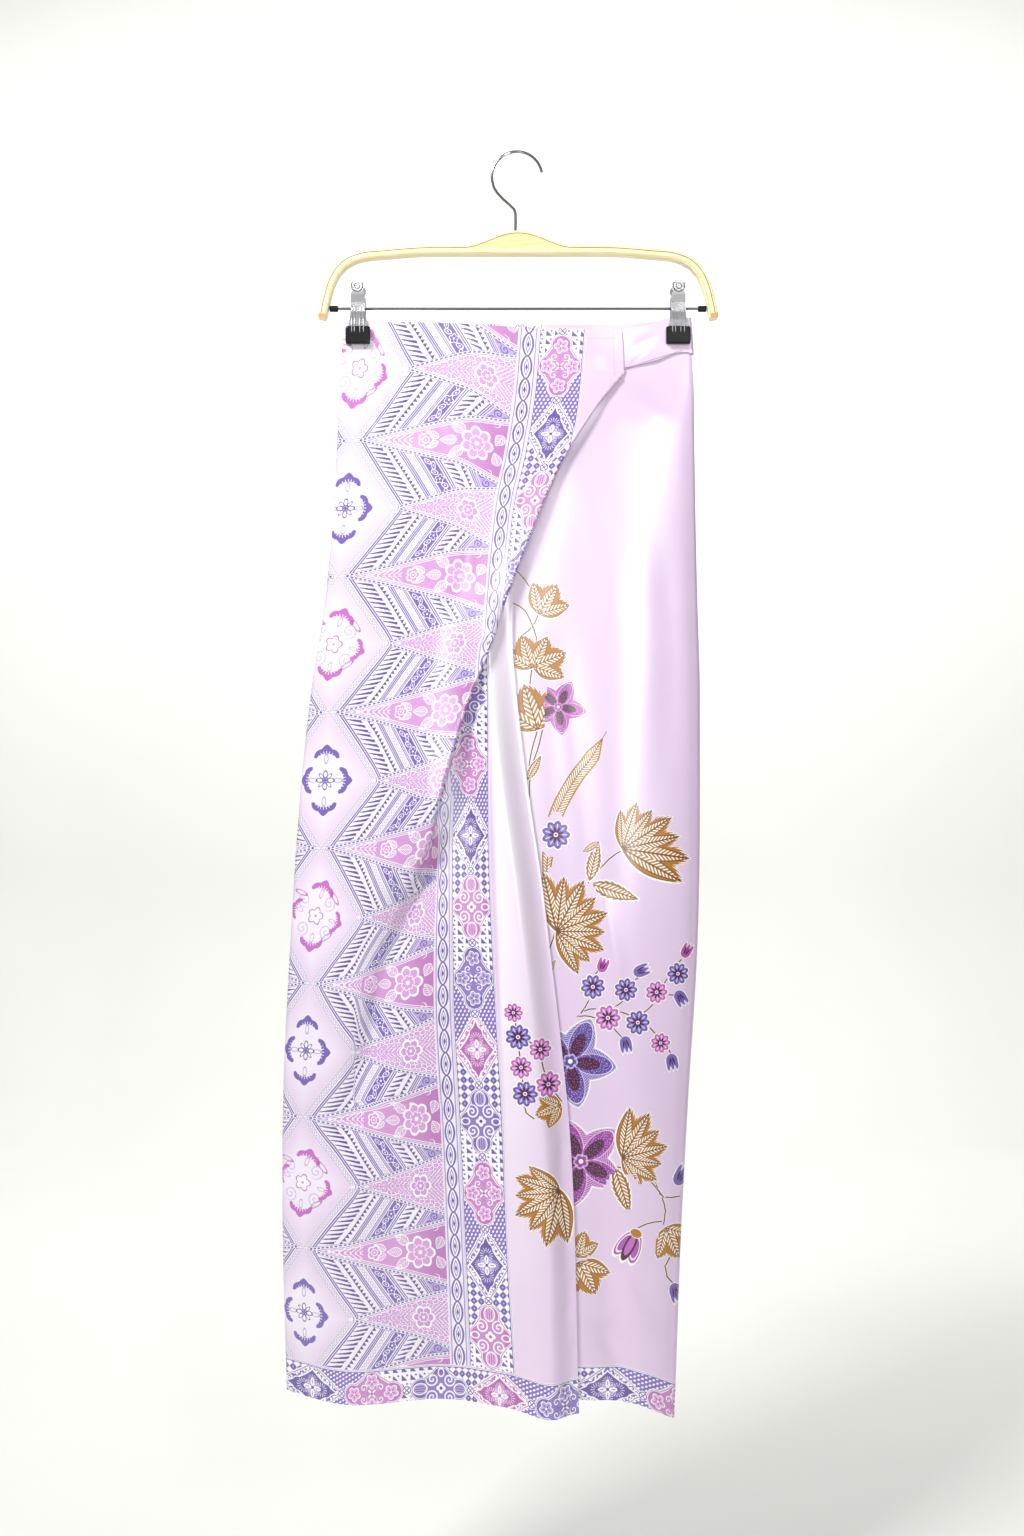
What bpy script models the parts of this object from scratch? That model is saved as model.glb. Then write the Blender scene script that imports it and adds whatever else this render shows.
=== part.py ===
"""Long batik wrap skirt hanging from the two clips of a wooden clip hanger.

The frame is in metres, +Z up, +X to the right seen from the front and -Y towards the front. The origin is
the inside of the hook's crown, where the hanger hangs. The sizes below are in millimetres.
"""

import math

import bmesh
import bpy
import numpy as np

MM = 0.001

# Cloth
WALL = 1.2
GAP = 0.3
PITCH = WALL + GAP
WAIST_Z = -170.0
HEM_LEVEL = 1013.0
LENS_POWER = 2.4

# Outline of the skirt at each level: how far below the waist, the two side folds, and how far the hollow
# reaches forward and backward of the middle plane
OUTLINE = [
    dict(level=0, left=-164.5, right=166.0, front=4.0, back=4.0, fold=2.5),
    dict(level=37, left=-168.0, right=168.5, front=5.0, back=5.0, fold=3.0),
    dict(level=92, left=-171.0, right=169.0, front=8.0, back=7.0, fold=3.5),
    dict(level=163, left=-174.5, right=170.0, front=11.0, back=9.0, fold=4.0),
    dict(level=257, left=-183.0, right=172.0, front=14.0, back=12.0, fold=4.5),
    dict(level=352, left=-197.5, right=174.5, front=17.0, back=14.0, fold=5.0),
    dict(level=447, left=-207.0, right=174.5, front=19.0, back=16.0, fold=5.0),
    dict(level=589, left=-216.5, right=172.0, front=22.0, back=19.0, fold=5.5),
    dict(level=730, left=-223.0, right=163.5, front=25.0, back=22.0, fold=6.0),
    dict(level=860, left=-223.5, right=156.5, front=27.0, back=24.0, fold=6.0),
    dict(level=1013, left=-219.6, right=150.0, front=28.0, back=26.0, fold=6.0),
]

# The overlap's long diagonal fold at each level: where its outer edge shows, how sharply it turns, how wide
# the turned stretch is, the radius of its turns, and where the panel's free edge lies
DRAPE = [
    dict(level=0, fold=80.0, turn=0, width=4.0, radius=1.5, edge=99.6),
    dict(level=37, fold=86.0, turn=0, width=4.0, radius=1.5, edge=101.5),
    dict(level=43, fold=91.0, turn=45, width=4.0, radius=1.5, edge=100.5),
    dict(level=49, fold=91.5, turn=100, width=5.0, radius=1.5, edge=97.5),
    dict(level=56, fold=87.0, turn=150, width=9.0, radius=1.5, edge=90.0),
    dict(level=66, fold=79.5, turn=180, width=15.0, radius=1.5, edge=79.0),
    dict(level=92, fold=62.0, turn=180, width=27.0, radius=1.6, edge=49.8),
    dict(level=130, fold=41.0, turn=180, width=37.0, radius=1.7, edge=24.0),
    dict(level=163, fold=26.3, turn=180, width=45.0, radius=1.8, edge=7.5),
    dict(level=210, fold=8.0, turn=180, width=46.0, radius=1.9, edge=-1.0),
    dict(level=257, fold=-9.5, turn=180, width=46.0, radius=2.0, edge=-3.8),
    dict(level=305, fold=-25.0, turn=180, width=41.0, radius=2.1, edge=-4.0),
    dict(level=352, fold=-44.3, turn=176, width=31.0, radius=2.3, edge=0.0),
    dict(level=400, fold=-59.0, turn=160, width=21.0, radius=2.6, edge=5.5),
    dict(level=447, fold=-72.0, turn=125, width=13.0, radius=3.2, edge=11.7),
    dict(level=488, fold=-82.0, turn=85, width=8.0, radius=4.5, edge=17.8),
    dict(level=530, fold=-101.0, turn=55, width=7.0, radius=8.0, edge=24.0),
    dict(level=589, fold=-126.0, turn=32, width=6.0, radius=12.0, edge=31.0),
    dict(level=660, fold=-143.0, turn=16, width=5.0, radius=14.0, edge=39.5),
    dict(level=730, fold=-150.0, turn=8, width=5.0, radius=14.0, edge=47.0),
    dict(level=1013, fold=-150.0, turn=4, width=5.0, radius=14.0, edge=58.2),
]

# Soft folds: the cloth rises by height over spread to each side of a line through (level, x)
OVERLAP_FOLDS = [
    dict(name="puff", height=6.0, spread=120.0, line=[(120, -60), (560, -80), (1013, -80)]),
    dict(name="edge roll", height=9.0, spread=21.0, line=[(250, -24), (352, -20), (589, 9), (918, 34), (1013, 35)]),
    dict(name="drape trough", height=-8.0, spread=17.0, line=[(470, -84), (569, -112), (680, -140), (830, -180)]),
    dict(name="valley", height=-7.0, spread=30.0, line=[(560, -52), (730, -50), (1013, -66)]),
    dict(name="left ridge", height=8.0, spread=34.0, line=[(560, -168), (800, -162), (1013, -158)]),
]
UNDER_FOLDS = [
    dict(name="right ridge", height=5.0, spread=27.0, line=[(50, 112), (352, 118), (620, 118), (900, 100)]),
    dict(name="shadow side", height=-4.0, spread=18.0, line=[(230, 34), (589, 68), (1013, 92)]),
    dict(name="hem dip", height=-4.0, spread=11.0, line=[(930, 74), (1040, 128)]),
]
BACK_FOLDS = [
    dict(name="left ridge", height=5.0, spread=30.0, line=[(90, -52), (560, -70), (1013, -92)]),
    dict(name="middle trough", height=-4.0, spread=24.0, line=[(300, -8), (1013, -16)]),
    dict(name="right ridge", height=6.0, spread=32.0, line=[(200, 58), (620, 72), (1013, 66)]),
]

# Heights of the cut edges along X
OVERLAP_TOP = [(-165, -160.4), (-140, -161.4), (-74, -163.3), (2, -167.6), (102, -170.0), (200, -170.0)]
BAND_TOP = [(98, -169.5), (127, -164.3), (138, -159.8), (167, -157.6)]
UNDER_TOP = [(-165, -161.6), (2, -168.5), (102, -171.2), (138, -161.0), (167, -158.8)]
BACK_TOP = [(-165, -160.0), (28, -162.4), (100, -162.4), (167, -157.6)]
OVERLAP_HEM = [(-220, -1178), (-150, -1181), (-72, -1178), (-10, -1184), (25, -1193), (60, -1192)]
UNDER_HEM = [(-200, -1178), (62, -1181), (105, -1186), (130, -1195), (150, -1206)]
BACK_HEM = [(-220, -1178), (0, -1188), (150, -1206)]
BAND_FOOT = [(98, -207.0), (130, -199.5), (160, -190.5), (170, -192.5)]
BAND_BACK_FOOT = [(-10, -202.0), (160, -192.5), (170, -192.5)]

UNDER_INSET = 16.0
OVERLAP_SLACK = 0.5
BAND_SLACK = 0.2
BAND_BACK_END = 0.0
HEM_TURN = 11.0
HEM_TURN_TOP = 104.0
TOP_FADE = 90.0
HEM_FADE = 170.0
SEAM_HALF_GAP = 0.15

# Rows of the cloth, as levels; the overlap has more rows just under its waist corner
TOP_LEVELS = [0, 7, 14, 21, 29, 37, 49, 66]
CORNER_LEVELS = [43, 56, 78, 110]
LOWER_LEVELS = [92, 130, 163, 210, 257, 305, 352, 400, 447, 488, 530, 589, 660, 735, 820, 900, 965]
LOWER_LEVELS.append(HEM_LEVEL)
PANEL_LEVELS = [92, 163, 257, 352, 447, 530, 660, 800, 900, 965, HEM_LEVEL]
PANEL_COLUMNS = 16
OVERLAP_LEVELS = sorted(TOP_LEVELS + CORNER_LEVELS + LOWER_LEVELS)
LEAD_COLUMNS = 13
ARC_COLUMNS = 4
TURNED_COLUMNS = 4
LEAST_COLUMN = 0.7
DRAPE_LIFT_REACH = 110.0
TAIL_COLUMNS = 6
HEM_COLUMNS = 3

# Clips and rod
ROD_Z = -148.8
ROD_DIAMETER = 2.8
ROD_SLEEVE_BORE = 3.4
ROD_END_GAP = 0.6
CLIP_X = dict(left=-151.5, right=153.5)
CLIP_BACK_CLOTH = dict(left=PITCH - SEAM_HALF_GAP, right=2 * PITCH - SEAM_HALF_GAP)
CLIP_FRONT_CLOTH = 2 * PITCH - SEAM_HALF_GAP
PAD_WIDTH = 23.0
PAD_TOP = -167.1
PAD_FOOT = -183.3
PAD_THICKNESS = 2.4
PLATE_THICKNESS = 0.9
SPRING_LENGTH = 11.0
LEVER_RADIUS = 6.7
LEVER_Z = -130.0
LEVER_LEAN = 4.6
PLATE_FOOT = -174.0
PLATE_ROWS = [
    dict(z=-137.0, half=6.6, lean=2.2),
    dict(z=-144.0, half=6.9, lean=-0.6),
    dict(z=-153.0, half=7.0, lean=-0.6),
    dict(z=-161.0, half=7.8, lean=0.0),
    dict(z=-168.0, half=9.0, lean=0.2),
    dict(z=PLATE_FOOT, half=9.0, lean=0.0),
]

# Wooden bar and hook
BAR_HEIGHT = 9.0
BAR_DEPTH = 12.0
BAR_CENTRE_LINE = [
    (0, -93.8), (45, -93.6), (80, -93.6), (127, -96.6), (150, -99.2), (164, -105.0),
    (173, -114.0), (179.5, -127.0), (183.6, -142.0), (187.0, -158.5),
]
BAR_STATIONS = 21
BAR_CENTRE_X = 1.0
BAR_ROUNDING = 1.6
BAR_END_LEAN = math.radians(11)
HUMP_HEIGHT = 14.2
HUMP_HALF_WIDTH = 54.0
FERRULE_DIAMETER = 6.0
FERRULE_LENGTH = 8.0
WIRE_DIAMETER = 2.8
HOOK_RADIUS = 24.0
HOOK_TIP_ANGLE = 10.0
HOOK_END_ANGLE = 188.0
HOOK_SWEEP = [(-22.2, -32.5), (-18.8, -38.2), (-13.1, -44.3), (-7.0, -49.6), (-2.9, -53.6), (-1.4, -58.0)]
STEM_X = -1.4
STEM_SOCKET_DEPTH = 9.0


def clear_scene():
    for item in list(bpy.data.objects):
        bpy.data.objects.remove(item, do_unlink=True)


def material(name, colour, roughness, metallic=0.0):
    made = bpy.data.materials.new(name)
    made.use_nodes = True
    shader = made.node_tree.nodes["Principled BSDF"]
    shader.inputs["Base Color"].default_value = (*colour, 1.0)
    shader.inputs["Roughness"].default_value = roughness
    shader.inputs["Metallic"].default_value = metallic
    return made


def add_object(name, mesh, finish):
    made = bpy.data.objects.new(name, mesh)
    mesh.materials.append(finish)
    bpy.context.scene.collection.objects.link(made)
    return made


def read_curve(at, known, values):
    """A smooth curve through the known values, read at some places, level beyond both ends."""
    known = np.asarray(known, float)
    values = np.asarray(values, float)
    slopes = np.gradient(values, known)
    steps = np.diff(values)
    for index, step in enumerate(steps):
        if step == 0:
            slopes[index] = 0.0
            slopes[index + 1] = 0.0
    at = np.clip(np.asarray(at, float), known[0], known[-1])
    place = np.clip(np.searchsorted(known, at, side="right") - 1, 0, len(known) - 2)
    width = known[place + 1] - known[place]
    part = (at - known[place]) / width
    start = values[place]
    end = values[place + 1]
    rise = (2 * part**3 - 3 * part**2 + 1) * start + (3 * part**2 - 2 * part**3) * end
    bend = (part**3 - 2 * part**2 + part) * slopes[place] + (part**3 - part**2) * slopes[place + 1]
    return rise + bend * width


def read_table(rows, column, level):
    return read_curve(level, [row["level"] for row in rows], [row[column] for row in rows])


def read_line(points, at):
    return read_curve(at, [point[0] for point in points], [point[1] for point in points])


def smooth_step(value):
    value = np.clip(value, 0.0, 1.0)
    return value * value * (3 - 2 * value)


def fold_rise(folds, x, level):
    """How far the named soft folds move the cloth outward at x and level."""
    rise = np.zeros(np.broadcast(x, level).shape)
    for fold in folds:
        first = fold["line"][0][0]
        last = fold["line"][-1][0]
        fade_in = smooth_step((level - first) / (0.25 * (last - first)))
        runs_out = smooth_step((last - level) / (0.25 * (last - first)))
        fade_out = 1.0 if last >= HEM_LEVEL else runs_out
        across = (x - read_line(fold["line"], level)) / fold["spread"]
        rise = rise + fold["height"] * fade_in * fade_out * np.exp(-across * across)
    return rise


def hollow_depth(side, folds, x, level):
    """Depth of the hollow from the middle plane, pinched flat where the clips hold the waist."""
    left = read_table(OUTLINE, "left", level)
    right = read_table(OUTLINE, "right", level)
    across = np.abs((x - 0.5 * (left + right)) / (0.5 * (right - left) - 1.0))
    lens = np.clip(1.0 - across**LENS_POWER, 0.0, 1.0) ** (1.0 / LENS_POWER)
    held = smooth_step((np.abs(x) - 66.0) / 68.0) * (1.0 - smooth_step((level - 18.0) / 74.0))
    depth = read_table(OUTLINE, side, level) * lens + fold_rise(folds, x, level) * lens
    return np.maximum(depth * (1.0 - held), 0.0) + SEAM_HALF_GAP


def front_base(x, level):
    return hollow_depth("front", UNDER_FOLDS, x, level)


def back_base(x, level):
    return hollow_depth("back", BACK_FOLDS, x, level)


def level_of(z):
    return WAIST_Z - z


def height_at(level, x, top, hem):
    """Height of a row of the grid, which follows the top edge and the hem near its ends."""
    plain = WAIST_Z - level
    top_part = 1.0 - smooth_step(level / TOP_FADE)
    hem_part = smooth_step((level - HEM_LEVEL + HEM_FADE) / HEM_FADE)
    top_move = read_line(top, x) - WAIST_Z
    hem_move = read_line(hem, x) - (WAIST_Z - HEM_LEVEL)
    return plain + top_part * top_move + hem_part * hem_move


def normals_of(grid, seams=()):
    along = np.gradient(grid, axis=0)
    across = np.gradient(grid, axis=1)
    for seam in seams:
        across[:, seam, 0] = 0.0
        across[:, seam, 2] = 0.0
    normal = np.cross(across, along)
    return normal / np.linalg.norm(normal, axis=2, keepdims=True)


def cloth_wall(name, grid, finish, seams=()):
    """A closed wall of the cloth's thickness about a grid of points in millimetres.

    The first or last column named in seams meets the next panel squarely in the middle plane.
    """
    rows, columns = grid.shape[:2]
    normal = normals_of(grid, seams)
    faces = []
    points = []
    for side in (0.5, -0.5):
        points.append((grid + normal * WALL * side).reshape(-1, 3))
    count = rows * columns
    for row in range(rows - 1):
        for column in range(columns - 1):
            a = row * columns + column
            b = a + 1
            c = a + columns + 1
            d = a + columns
            faces.append((a, b, c, d))
            faces.append((count + d, count + c, count + b, count + a))
    ring = [column for column in range(columns)]
    ring += [row * columns + columns - 1 for row in range(1, rows)]
    ring += [(rows - 1) * columns + column for column in range(columns - 2, -1, -1)]
    ring += [row * columns for row in range(rows - 2, 0, -1)]
    for index, here in enumerate(ring):
        after = ring[(index + 1) % len(ring)]
        faces.append((here, count + here, count + after, after))
    mesh = bpy.data.meshes.new(name)
    mesh.from_pydata((np.concatenate(points) * MM).tolist(), [], faces)
    face_outward(mesh)
    mesh.shade_smooth()
    mesh.set_sharp_from_angle(angle=math.radians(50))
    return add_object(name, mesh, finish)


def face_outward(mesh):
    work = bmesh.new()
    work.from_mesh(mesh)
    bmesh.ops.recalc_face_normals(work, faces=work.faces)
    if work.calc_volume(signed=True) < 0:
        bmesh.ops.reverse_faces(work, faces=work.faces)
    work.to_mesh(mesh)
    work.free()


def side_fold(edge, radius, depth, steps=4):
    """Points of a quarter turn from the side's outermost point to the panel, as x and depth."""
    points = []
    for step in range(steps):
        angle = 0.5 * math.pi * step / steps
        x = edge + radius * (1 - math.cos(angle))
        points.append((x, SEAM_HALF_GAP + (depth - SEAM_HALF_GAP) * math.sin(angle)))
    return points


def fitted_radius(wanted, depth):
    """A side fold is never wider than it is deep, so that the wall doesn't cross itself."""
    return min(wanted, depth - SEAM_HALF_GAP)


def overlap_depth(x, level, edge):
    """Depth of the overlap's single or lowest layer, which lies on the panel under it."""
    lift = PITCH * smooth_step((x + 70.0) / 60.0) * smooth_step((level - 40.0) / 60.0)
    rise = np.maximum(fold_rise(OVERLAP_FOLDS, x, level), 0.0)
    side = read_table(OUTLINE, "left", level)
    rise = rise * smooth_step((x - side) / 40.0) * smooth_step((edge - x) / 26.0)
    slack = OVERLAP_SLACK * smooth_step((level - 12.0) / 40.0)
    return front_base(x, level) + PITCH + 0.5 * WALL + lift + rise + slack


def drape_path(turn, width, radius, along):
    """Forward place, and depth lost, along the two turns and the straight stretch between them."""
    arc = radius * turn
    x = 0.0
    drop = 0.0
    if along <= 0:
        return along, 0.0
    first = min(along, arc) / radius
    x += radius * math.sin(first)
    drop += radius * (1 - math.cos(first))
    straight = min(max(along - arc, 0.0), width)
    x += straight * math.cos(turn)
    drop += straight * math.sin(turn)
    second = min(max(along - arc - width, 0.0), arc) / radius
    x += radius * (math.sin(turn) - math.sin(turn - second))
    drop += radius * (math.cos(turn - second) - math.cos(turn))
    x += max(along - 2 * arc - width, 0.0)
    return x, drop


def overlap_row(level):
    """The overlap panel's section at one level, from the left side through the drape to its free edge."""
    left = float(read_table(OUTLINE, "left", level))
    radius = float(read_table(OUTLINE, "fold", level))
    edge = float(read_table(DRAPE, "edge", level))
    turn = math.radians(max(float(read_table(DRAPE, "turn", level)), 1.0))
    width = float(read_table(DRAPE, "width", level))
    bend = float(read_table(DRAPE, "radius", level))
    start = float(read_table(DRAPE, "fold", level)) - bend * math.sin(min(turn, math.pi / 2))
    return_x, total_drop = drape_path(turn, width, bend, 2 * bend * turn + width)
    turned_under = start + min(return_x, 0.0) - bend

    section = []
    radius = fitted_radius(radius, float(overlap_depth(left + radius, level, edge)))
    depth = float(overlap_depth(left + radius, level, edge))
    section += side_fold(left, radius, depth)
    first = left + radius
    for index in range(LEAD_COLUMNS):
        part = index / LEAD_COLUMNS
        x = first + (start - first) * part
        near = smooth_step((x - left) / max(turned_under - left, 1.0))
        lifted = total_drop * near * smooth_step((x - turned_under) / DRAPE_LIFT_REACH + 1.0)
        section.append((x, float(overlap_depth(x, level, edge)) + float(lifted)))
    arc = bend * turn
    natural = [0.0]
    natural += [arc * step / ARC_COLUMNS for step in range(1, ARC_COLUMNS + 1)]
    natural += [arc + width * step / TURNED_COLUMNS for step in range(1, TURNED_COLUMNS + 1)]
    natural += [arc + width + arc * step / ARC_COLUMNS for step in range(1, ARC_COLUMNS + 1)]
    station = 0.0
    before = 0.0
    for along in natural:
        station += max(along - before, LEAST_COLUMN) if along > 0 else 0.0
        before = along
        reach, drop = drape_path(turn, width, bend, station)
        x = start + reach
        depth = float(overlap_depth(x, level, edge)) + total_drop - drop
        section.append((x, depth))
    last = section[-1][0]
    hem_start = max(edge - HEM_TURN, 0.5 * (last + edge))
    tails = [last + (hem_start - last) * index / TAIL_COLUMNS for index in range(1, TAIL_COLUMNS + 1)]
    tails += [hem_start + (edge - hem_start) * index / HEM_COLUMNS for index in range(1, HEM_COLUMNS + 1)]
    for x in tails:
        section.append((x, float(overlap_depth(x, level, edge))))
    return section


def overlap_grid():
    grid = []
    for level in OVERLAP_LEVELS:
        row = []
        for x, depth in overlap_row(float(level)):
            row.append((x, -depth, float(height_at(level, x, OVERLAP_TOP, OVERLAP_HEM))))
        grid.append(row)
    return np.array(grid)


def turned_hem_grid(overlap):
    """The turned hem is the overlap's last columns, moved one pitch back from the face."""
    rows = [index for index, level in enumerate(OVERLAP_LEVELS) if level > HEM_TURN_TOP]
    inward = np.sign(normals_of(overlap)[rows[-1], -2, 1]) * PITCH
    moved = overlap + normals_of(overlap) * inward
    return moved[rows, -1 - HEM_COLUMNS:]


def panel_grid(xs_at, side, base, folds_at, top, hem):
    """A plain panel: side is -1 for the front and 1 for the back; folds_at names its rounded side folds."""
    grid = []
    for level in TOP_LEVELS + PANEL_LEVELS:
        radius = float(read_table(OUTLINE, "fold", level))
        low, high = xs_at(level)
        section = []
        start = low
        end = high
        if "left" in folds_at:
            turn = fitted_radius(radius, float(base(low + radius, level)) + 0.5 * WALL)
            start = low + turn
            section += side_fold(low, turn, float(base(start, level)) + 0.5 * WALL)
        if "right" in folds_at:
            turn = fitted_radius(radius, float(base(high - radius, level)) + 0.5 * WALL)
            end = high - turn
        for index in range(PANEL_COLUMNS + 1):
            x = start + (end - start) * index / PANEL_COLUMNS
            section.append((x, float(base(x, level)) + 0.5 * WALL))
        if "right" in folds_at:
            round_points = side_fold(0.0, turn, float(base(end, level)) + 0.5 * WALL)
            section += [(high - x, depth) for x, depth in reversed(round_points)]
        row = []
        for x, depth in section:
            row.append((x, side * depth, float(height_at(level, x, top, hem))))
        grid.append(row)
    return np.array(grid)


def right_of_inner(level):
    """The right side fold of the layers inside the waist band."""
    return float(read_table(OUTLINE, "right", level) - PITCH * (1 - smooth_step((level - 30) / 40)))


def under_grid():
    def reach(level):
        left = float(read_table(OUTLINE, "left", level))
        return left + UNDER_INSET, right_of_inner(level)

    return panel_grid(reach, -1, front_base, ("right",), UNDER_TOP, UNDER_HEM)


def back_grid():
    def reach(level):
        return float(read_table(OUTLINE, "left", level)), right_of_inner(level)

    return panel_grid(reach, 1, back_base, ("left", "right"), BACK_TOP, BACK_HEM)


def band_grid(side, base, start_at, top, foot, columns):
    """The waist band, one pitch outside the panel that it lies on, round to the right side fold."""
    grid = []
    rows = 6
    for index in range(rows + 1):
        part = index / rows
        nominal = 37.0 * part
        high = float(read_table(OUTLINE, "right", nominal))
        radius = fitted_radius(high, float(base(high - PITCH, nominal)) + PITCH + 0.5 * WALL)
        start = start_at(nominal)
        end = high - radius
        xs = [start + (end - start) * step / columns for step in range(columns + 1)]
        section = []
        for x in xs:
            section.append((x, None))
        for x, share in fold_shares(high, radius):
            section.append((x, share))
        row = []
        for x, share in section:
            z = float(read_line(top, x)) * (1 - part) + float(read_line(foot, x)) * part
            full = float(base(min(x, end), level_of(z))) + PITCH + BAND_SLACK + 0.5 * WALL
            depth = full if share is None else SEAM_HALF_GAP + (full - SEAM_HALF_GAP) * share
            row.append((x, side * depth, z))
        grid.append(row)
    return np.array(grid)


def fold_shares(high, radius, steps=4):
    """Places and shares of the full depth round the right side fold, from the panel outward."""
    shares = []
    for step in range(steps - 1, -1, -1):
        angle = 0.5 * math.pi * step / steps
        shares.append((high - radius * (1 - math.cos(angle)), math.sin(angle)))
    return shares


def build_cloth():
    printed = material("printed batik cloth", (0.62, 0.50, 0.72), 0.6)
    plain = material("plain lilac cloth", (0.80, 0.66, 0.86), 0.55)
    overlap = overlap_grid()
    cloth_wall("outer_panel", overlap, printed, seams=(0,))
    cloth_wall("overlap_hem", turned_hem_grid(overlap), plain)
    cloth_wall("under_panel", under_grid(), plain, seams=(-1,))
    cloth_wall("back_panel", back_grid(), plain, seams=(0, -1))

    def seam(level):
        return float(read_table(DRAPE, "edge", level)) + GAP

    def back_end(level):
        return BAND_BACK_END

    front = band_grid(-1, front_base, seam, BAND_TOP, BAND_FOOT, 10)
    cloth_wall("waist_band", front, plain, seams=(-1,))
    back_top = [(-10, -162.4), (100, -162.4), (170, -157.6)]
    back = band_grid(1, back_base, back_end, back_top, BAND_BACK_FOOT, 12)
    cloth_wall("waist_band_back", back, plain, seams=(-1,))


def bar_path():
    """Points along the bar's middle, from its left end to its right end, evenly spaced."""
    half = np.array(BAR_CENTRE_LINE, float)
    steps = np.linalg.norm(np.diff(half, axis=0), axis=1)
    length = np.concatenate([[0.0], np.cumsum(steps)])
    places = np.linspace(0.0, length[-1], BAR_STATIONS)
    xs = read_curve(places, length, half[:, 0])
    zs = read_curve(places, length, half[:, 1])
    right = np.stack([xs, zs], axis=1)
    left = right[:0:-1] * np.array([-1.0, 1.0])
    return np.concatenate([left, right])


def build_bar(finish):
    path = bar_path()
    ahead = np.gradient(path, axis=0)
    ahead /= np.linalg.norm(ahead, axis=1, keepdims=True)
    outward = np.stack([-ahead[:, 1], ahead[:, 0]], axis=1)
    upper = path + outward * BAR_HEIGHT / 2
    lower = path - outward * BAR_HEIGHT / 2
    near = np.clip(np.abs(upper[:, 0]) / HUMP_HALF_WIDTH, 0.0, 1.0)
    upper[:, 1] += HUMP_HEIGHT * (0.5 + 0.5 * np.cos(math.pi * near))
    outline = np.concatenate([upper, lower[::-1]])
    count = len(outline)
    points = []
    for y in (-BAR_DEPTH / 2, BAR_DEPTH / 2):
        for x, z in outline:
            points.append(((x + BAR_CENTRE_X) * MM, y * MM, z * MM))
    faces = [tuple(range(count)), tuple(range(2 * count - 1, count - 1, -1))]
    for index in range(count):
        after = (index + 1) % count
        faces.append((index, count + index, count + after, after))
    mesh = bpy.data.meshes.new("wood_bar")
    mesh.from_pydata(points, [], faces)
    face_outward(mesh)
    bar = add_object("wood_bar", mesh, finish)
    rounding = bar.modifiers.new("rounded edges", "BEVEL")
    rounding.width = BAR_ROUNDING * MM
    rounding.segments = 2
    rounding.limit_method = "ANGLE"
    rounding.angle_limit = math.radians(50)
    top = float(upper[len(path) // 2][1])
    socket = turned("stem_socket", [(0.0, -STEM_SOCKET_DEPTH), (ROD_SLEEVE_BORE / 2, -STEM_SOCKET_DEPTH),
                                    (ROD_SLEEVE_BORE / 2, 5.0), (0.0, 5.0)], finish, 16)
    socket.location = (STEM_X * MM, 0.0, top * MM)
    socket.hide_render = True
    socket.display_type = "WIRE"
    cut = bar.modifiers.new("stem socket", "BOOLEAN")
    cut.operation = "DIFFERENCE"
    cut.solver = "EXACT"
    cut.object = socket
    mesh.shade_smooth()
    mesh.set_sharp_from_angle(angle=math.radians(40))
    return top


def turned(name, profile, finish, sides):
    """A solid turned about Z from a closed profile of (radius, height) points, in millimetres."""
    points = []
    rings = []
    for radius, height in profile:
        if radius == 0:
            rings.append([len(points)] * sides)
            points.append((0.0, 0.0, height * MM))
            continue
        rings.append(list(range(len(points), len(points) + sides)))
        for side in range(sides):
            angle = 2 * math.pi * side / sides
            points.append((radius * MM * math.cos(angle), radius * MM * math.sin(angle), height * MM))
    faces = []
    for index, ring in enumerate(rings):
        other = rings[(index + 1) % len(rings)]
        for side in range(sides):
            after = (side + 1) % sides
            corners = []
            for corner in (ring[side], ring[after], other[after], other[side]):
                if corner not in corners:
                    corners.append(corner)
            if len(corners) > 2:
                faces.append(tuple(corners))
    mesh = bpy.data.meshes.new(name)
    mesh.from_pydata(points, [], faces)
    face_outward(mesh)
    mesh.shade_smooth()
    mesh.set_sharp_from_angle(angle=math.radians(40))
    return add_object(name, mesh, finish)


def tube_profile(outer, bore, length, rounding=0.5):
    """A sleeve along Z with softened outer corners, centred on its middle."""
    half = length / 2
    return [
        (bore / 2, -half), (outer / 2 - rounding, -half), (outer / 2, -half + rounding),
        (outer / 2, half - rounding), (outer / 2 - rounding, half), (bore / 2, half),
    ]


def build_rod(steel, black):
    reach = BAR_CENTRE_LINE[-2][0] + (BAR_CENTRE_LINE[-1][0] - BAR_CENTRE_LINE[-2][0]) * (
        (BAR_CENTRE_LINE[-2][1] - ROD_Z) / (BAR_CENTRE_LINE[-2][1] - BAR_CENTRE_LINE[-1][1])
    )
    half = reach - BAR_HEIGHT / 2 / math.cos(BAR_END_LEAN) - ROD_END_GAP
    rod = turned("clip_rod", [(0.0, -half), (ROD_DIAMETER / 2, -half), (ROD_DIAMETER / 2, half), (0.0, half)],
                 steel, 12)
    rod.rotation_euler = (0.0, math.pi / 2, 0.0)
    rod.location = (BAR_CENTRE_X * MM, 0.0, ROD_Z * MM)
    for side, name in ((-1, "rod_ferrule_left"), (1, "rod_ferrule_right")):
        profile = tube_profile(FERRULE_DIAMETER, ROD_SLEEVE_BORE, FERRULE_LENGTH)
        ferrule = turned(name, profile, black, 16)
        ferrule.rotation_euler = (0.0, math.pi / 2, 0.0)
        middle = side * (half - FERRULE_LENGTH / 2) + BAR_CENTRE_X
        ferrule.location = (middle * MM, 0.0, ROD_Z * MM)


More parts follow.
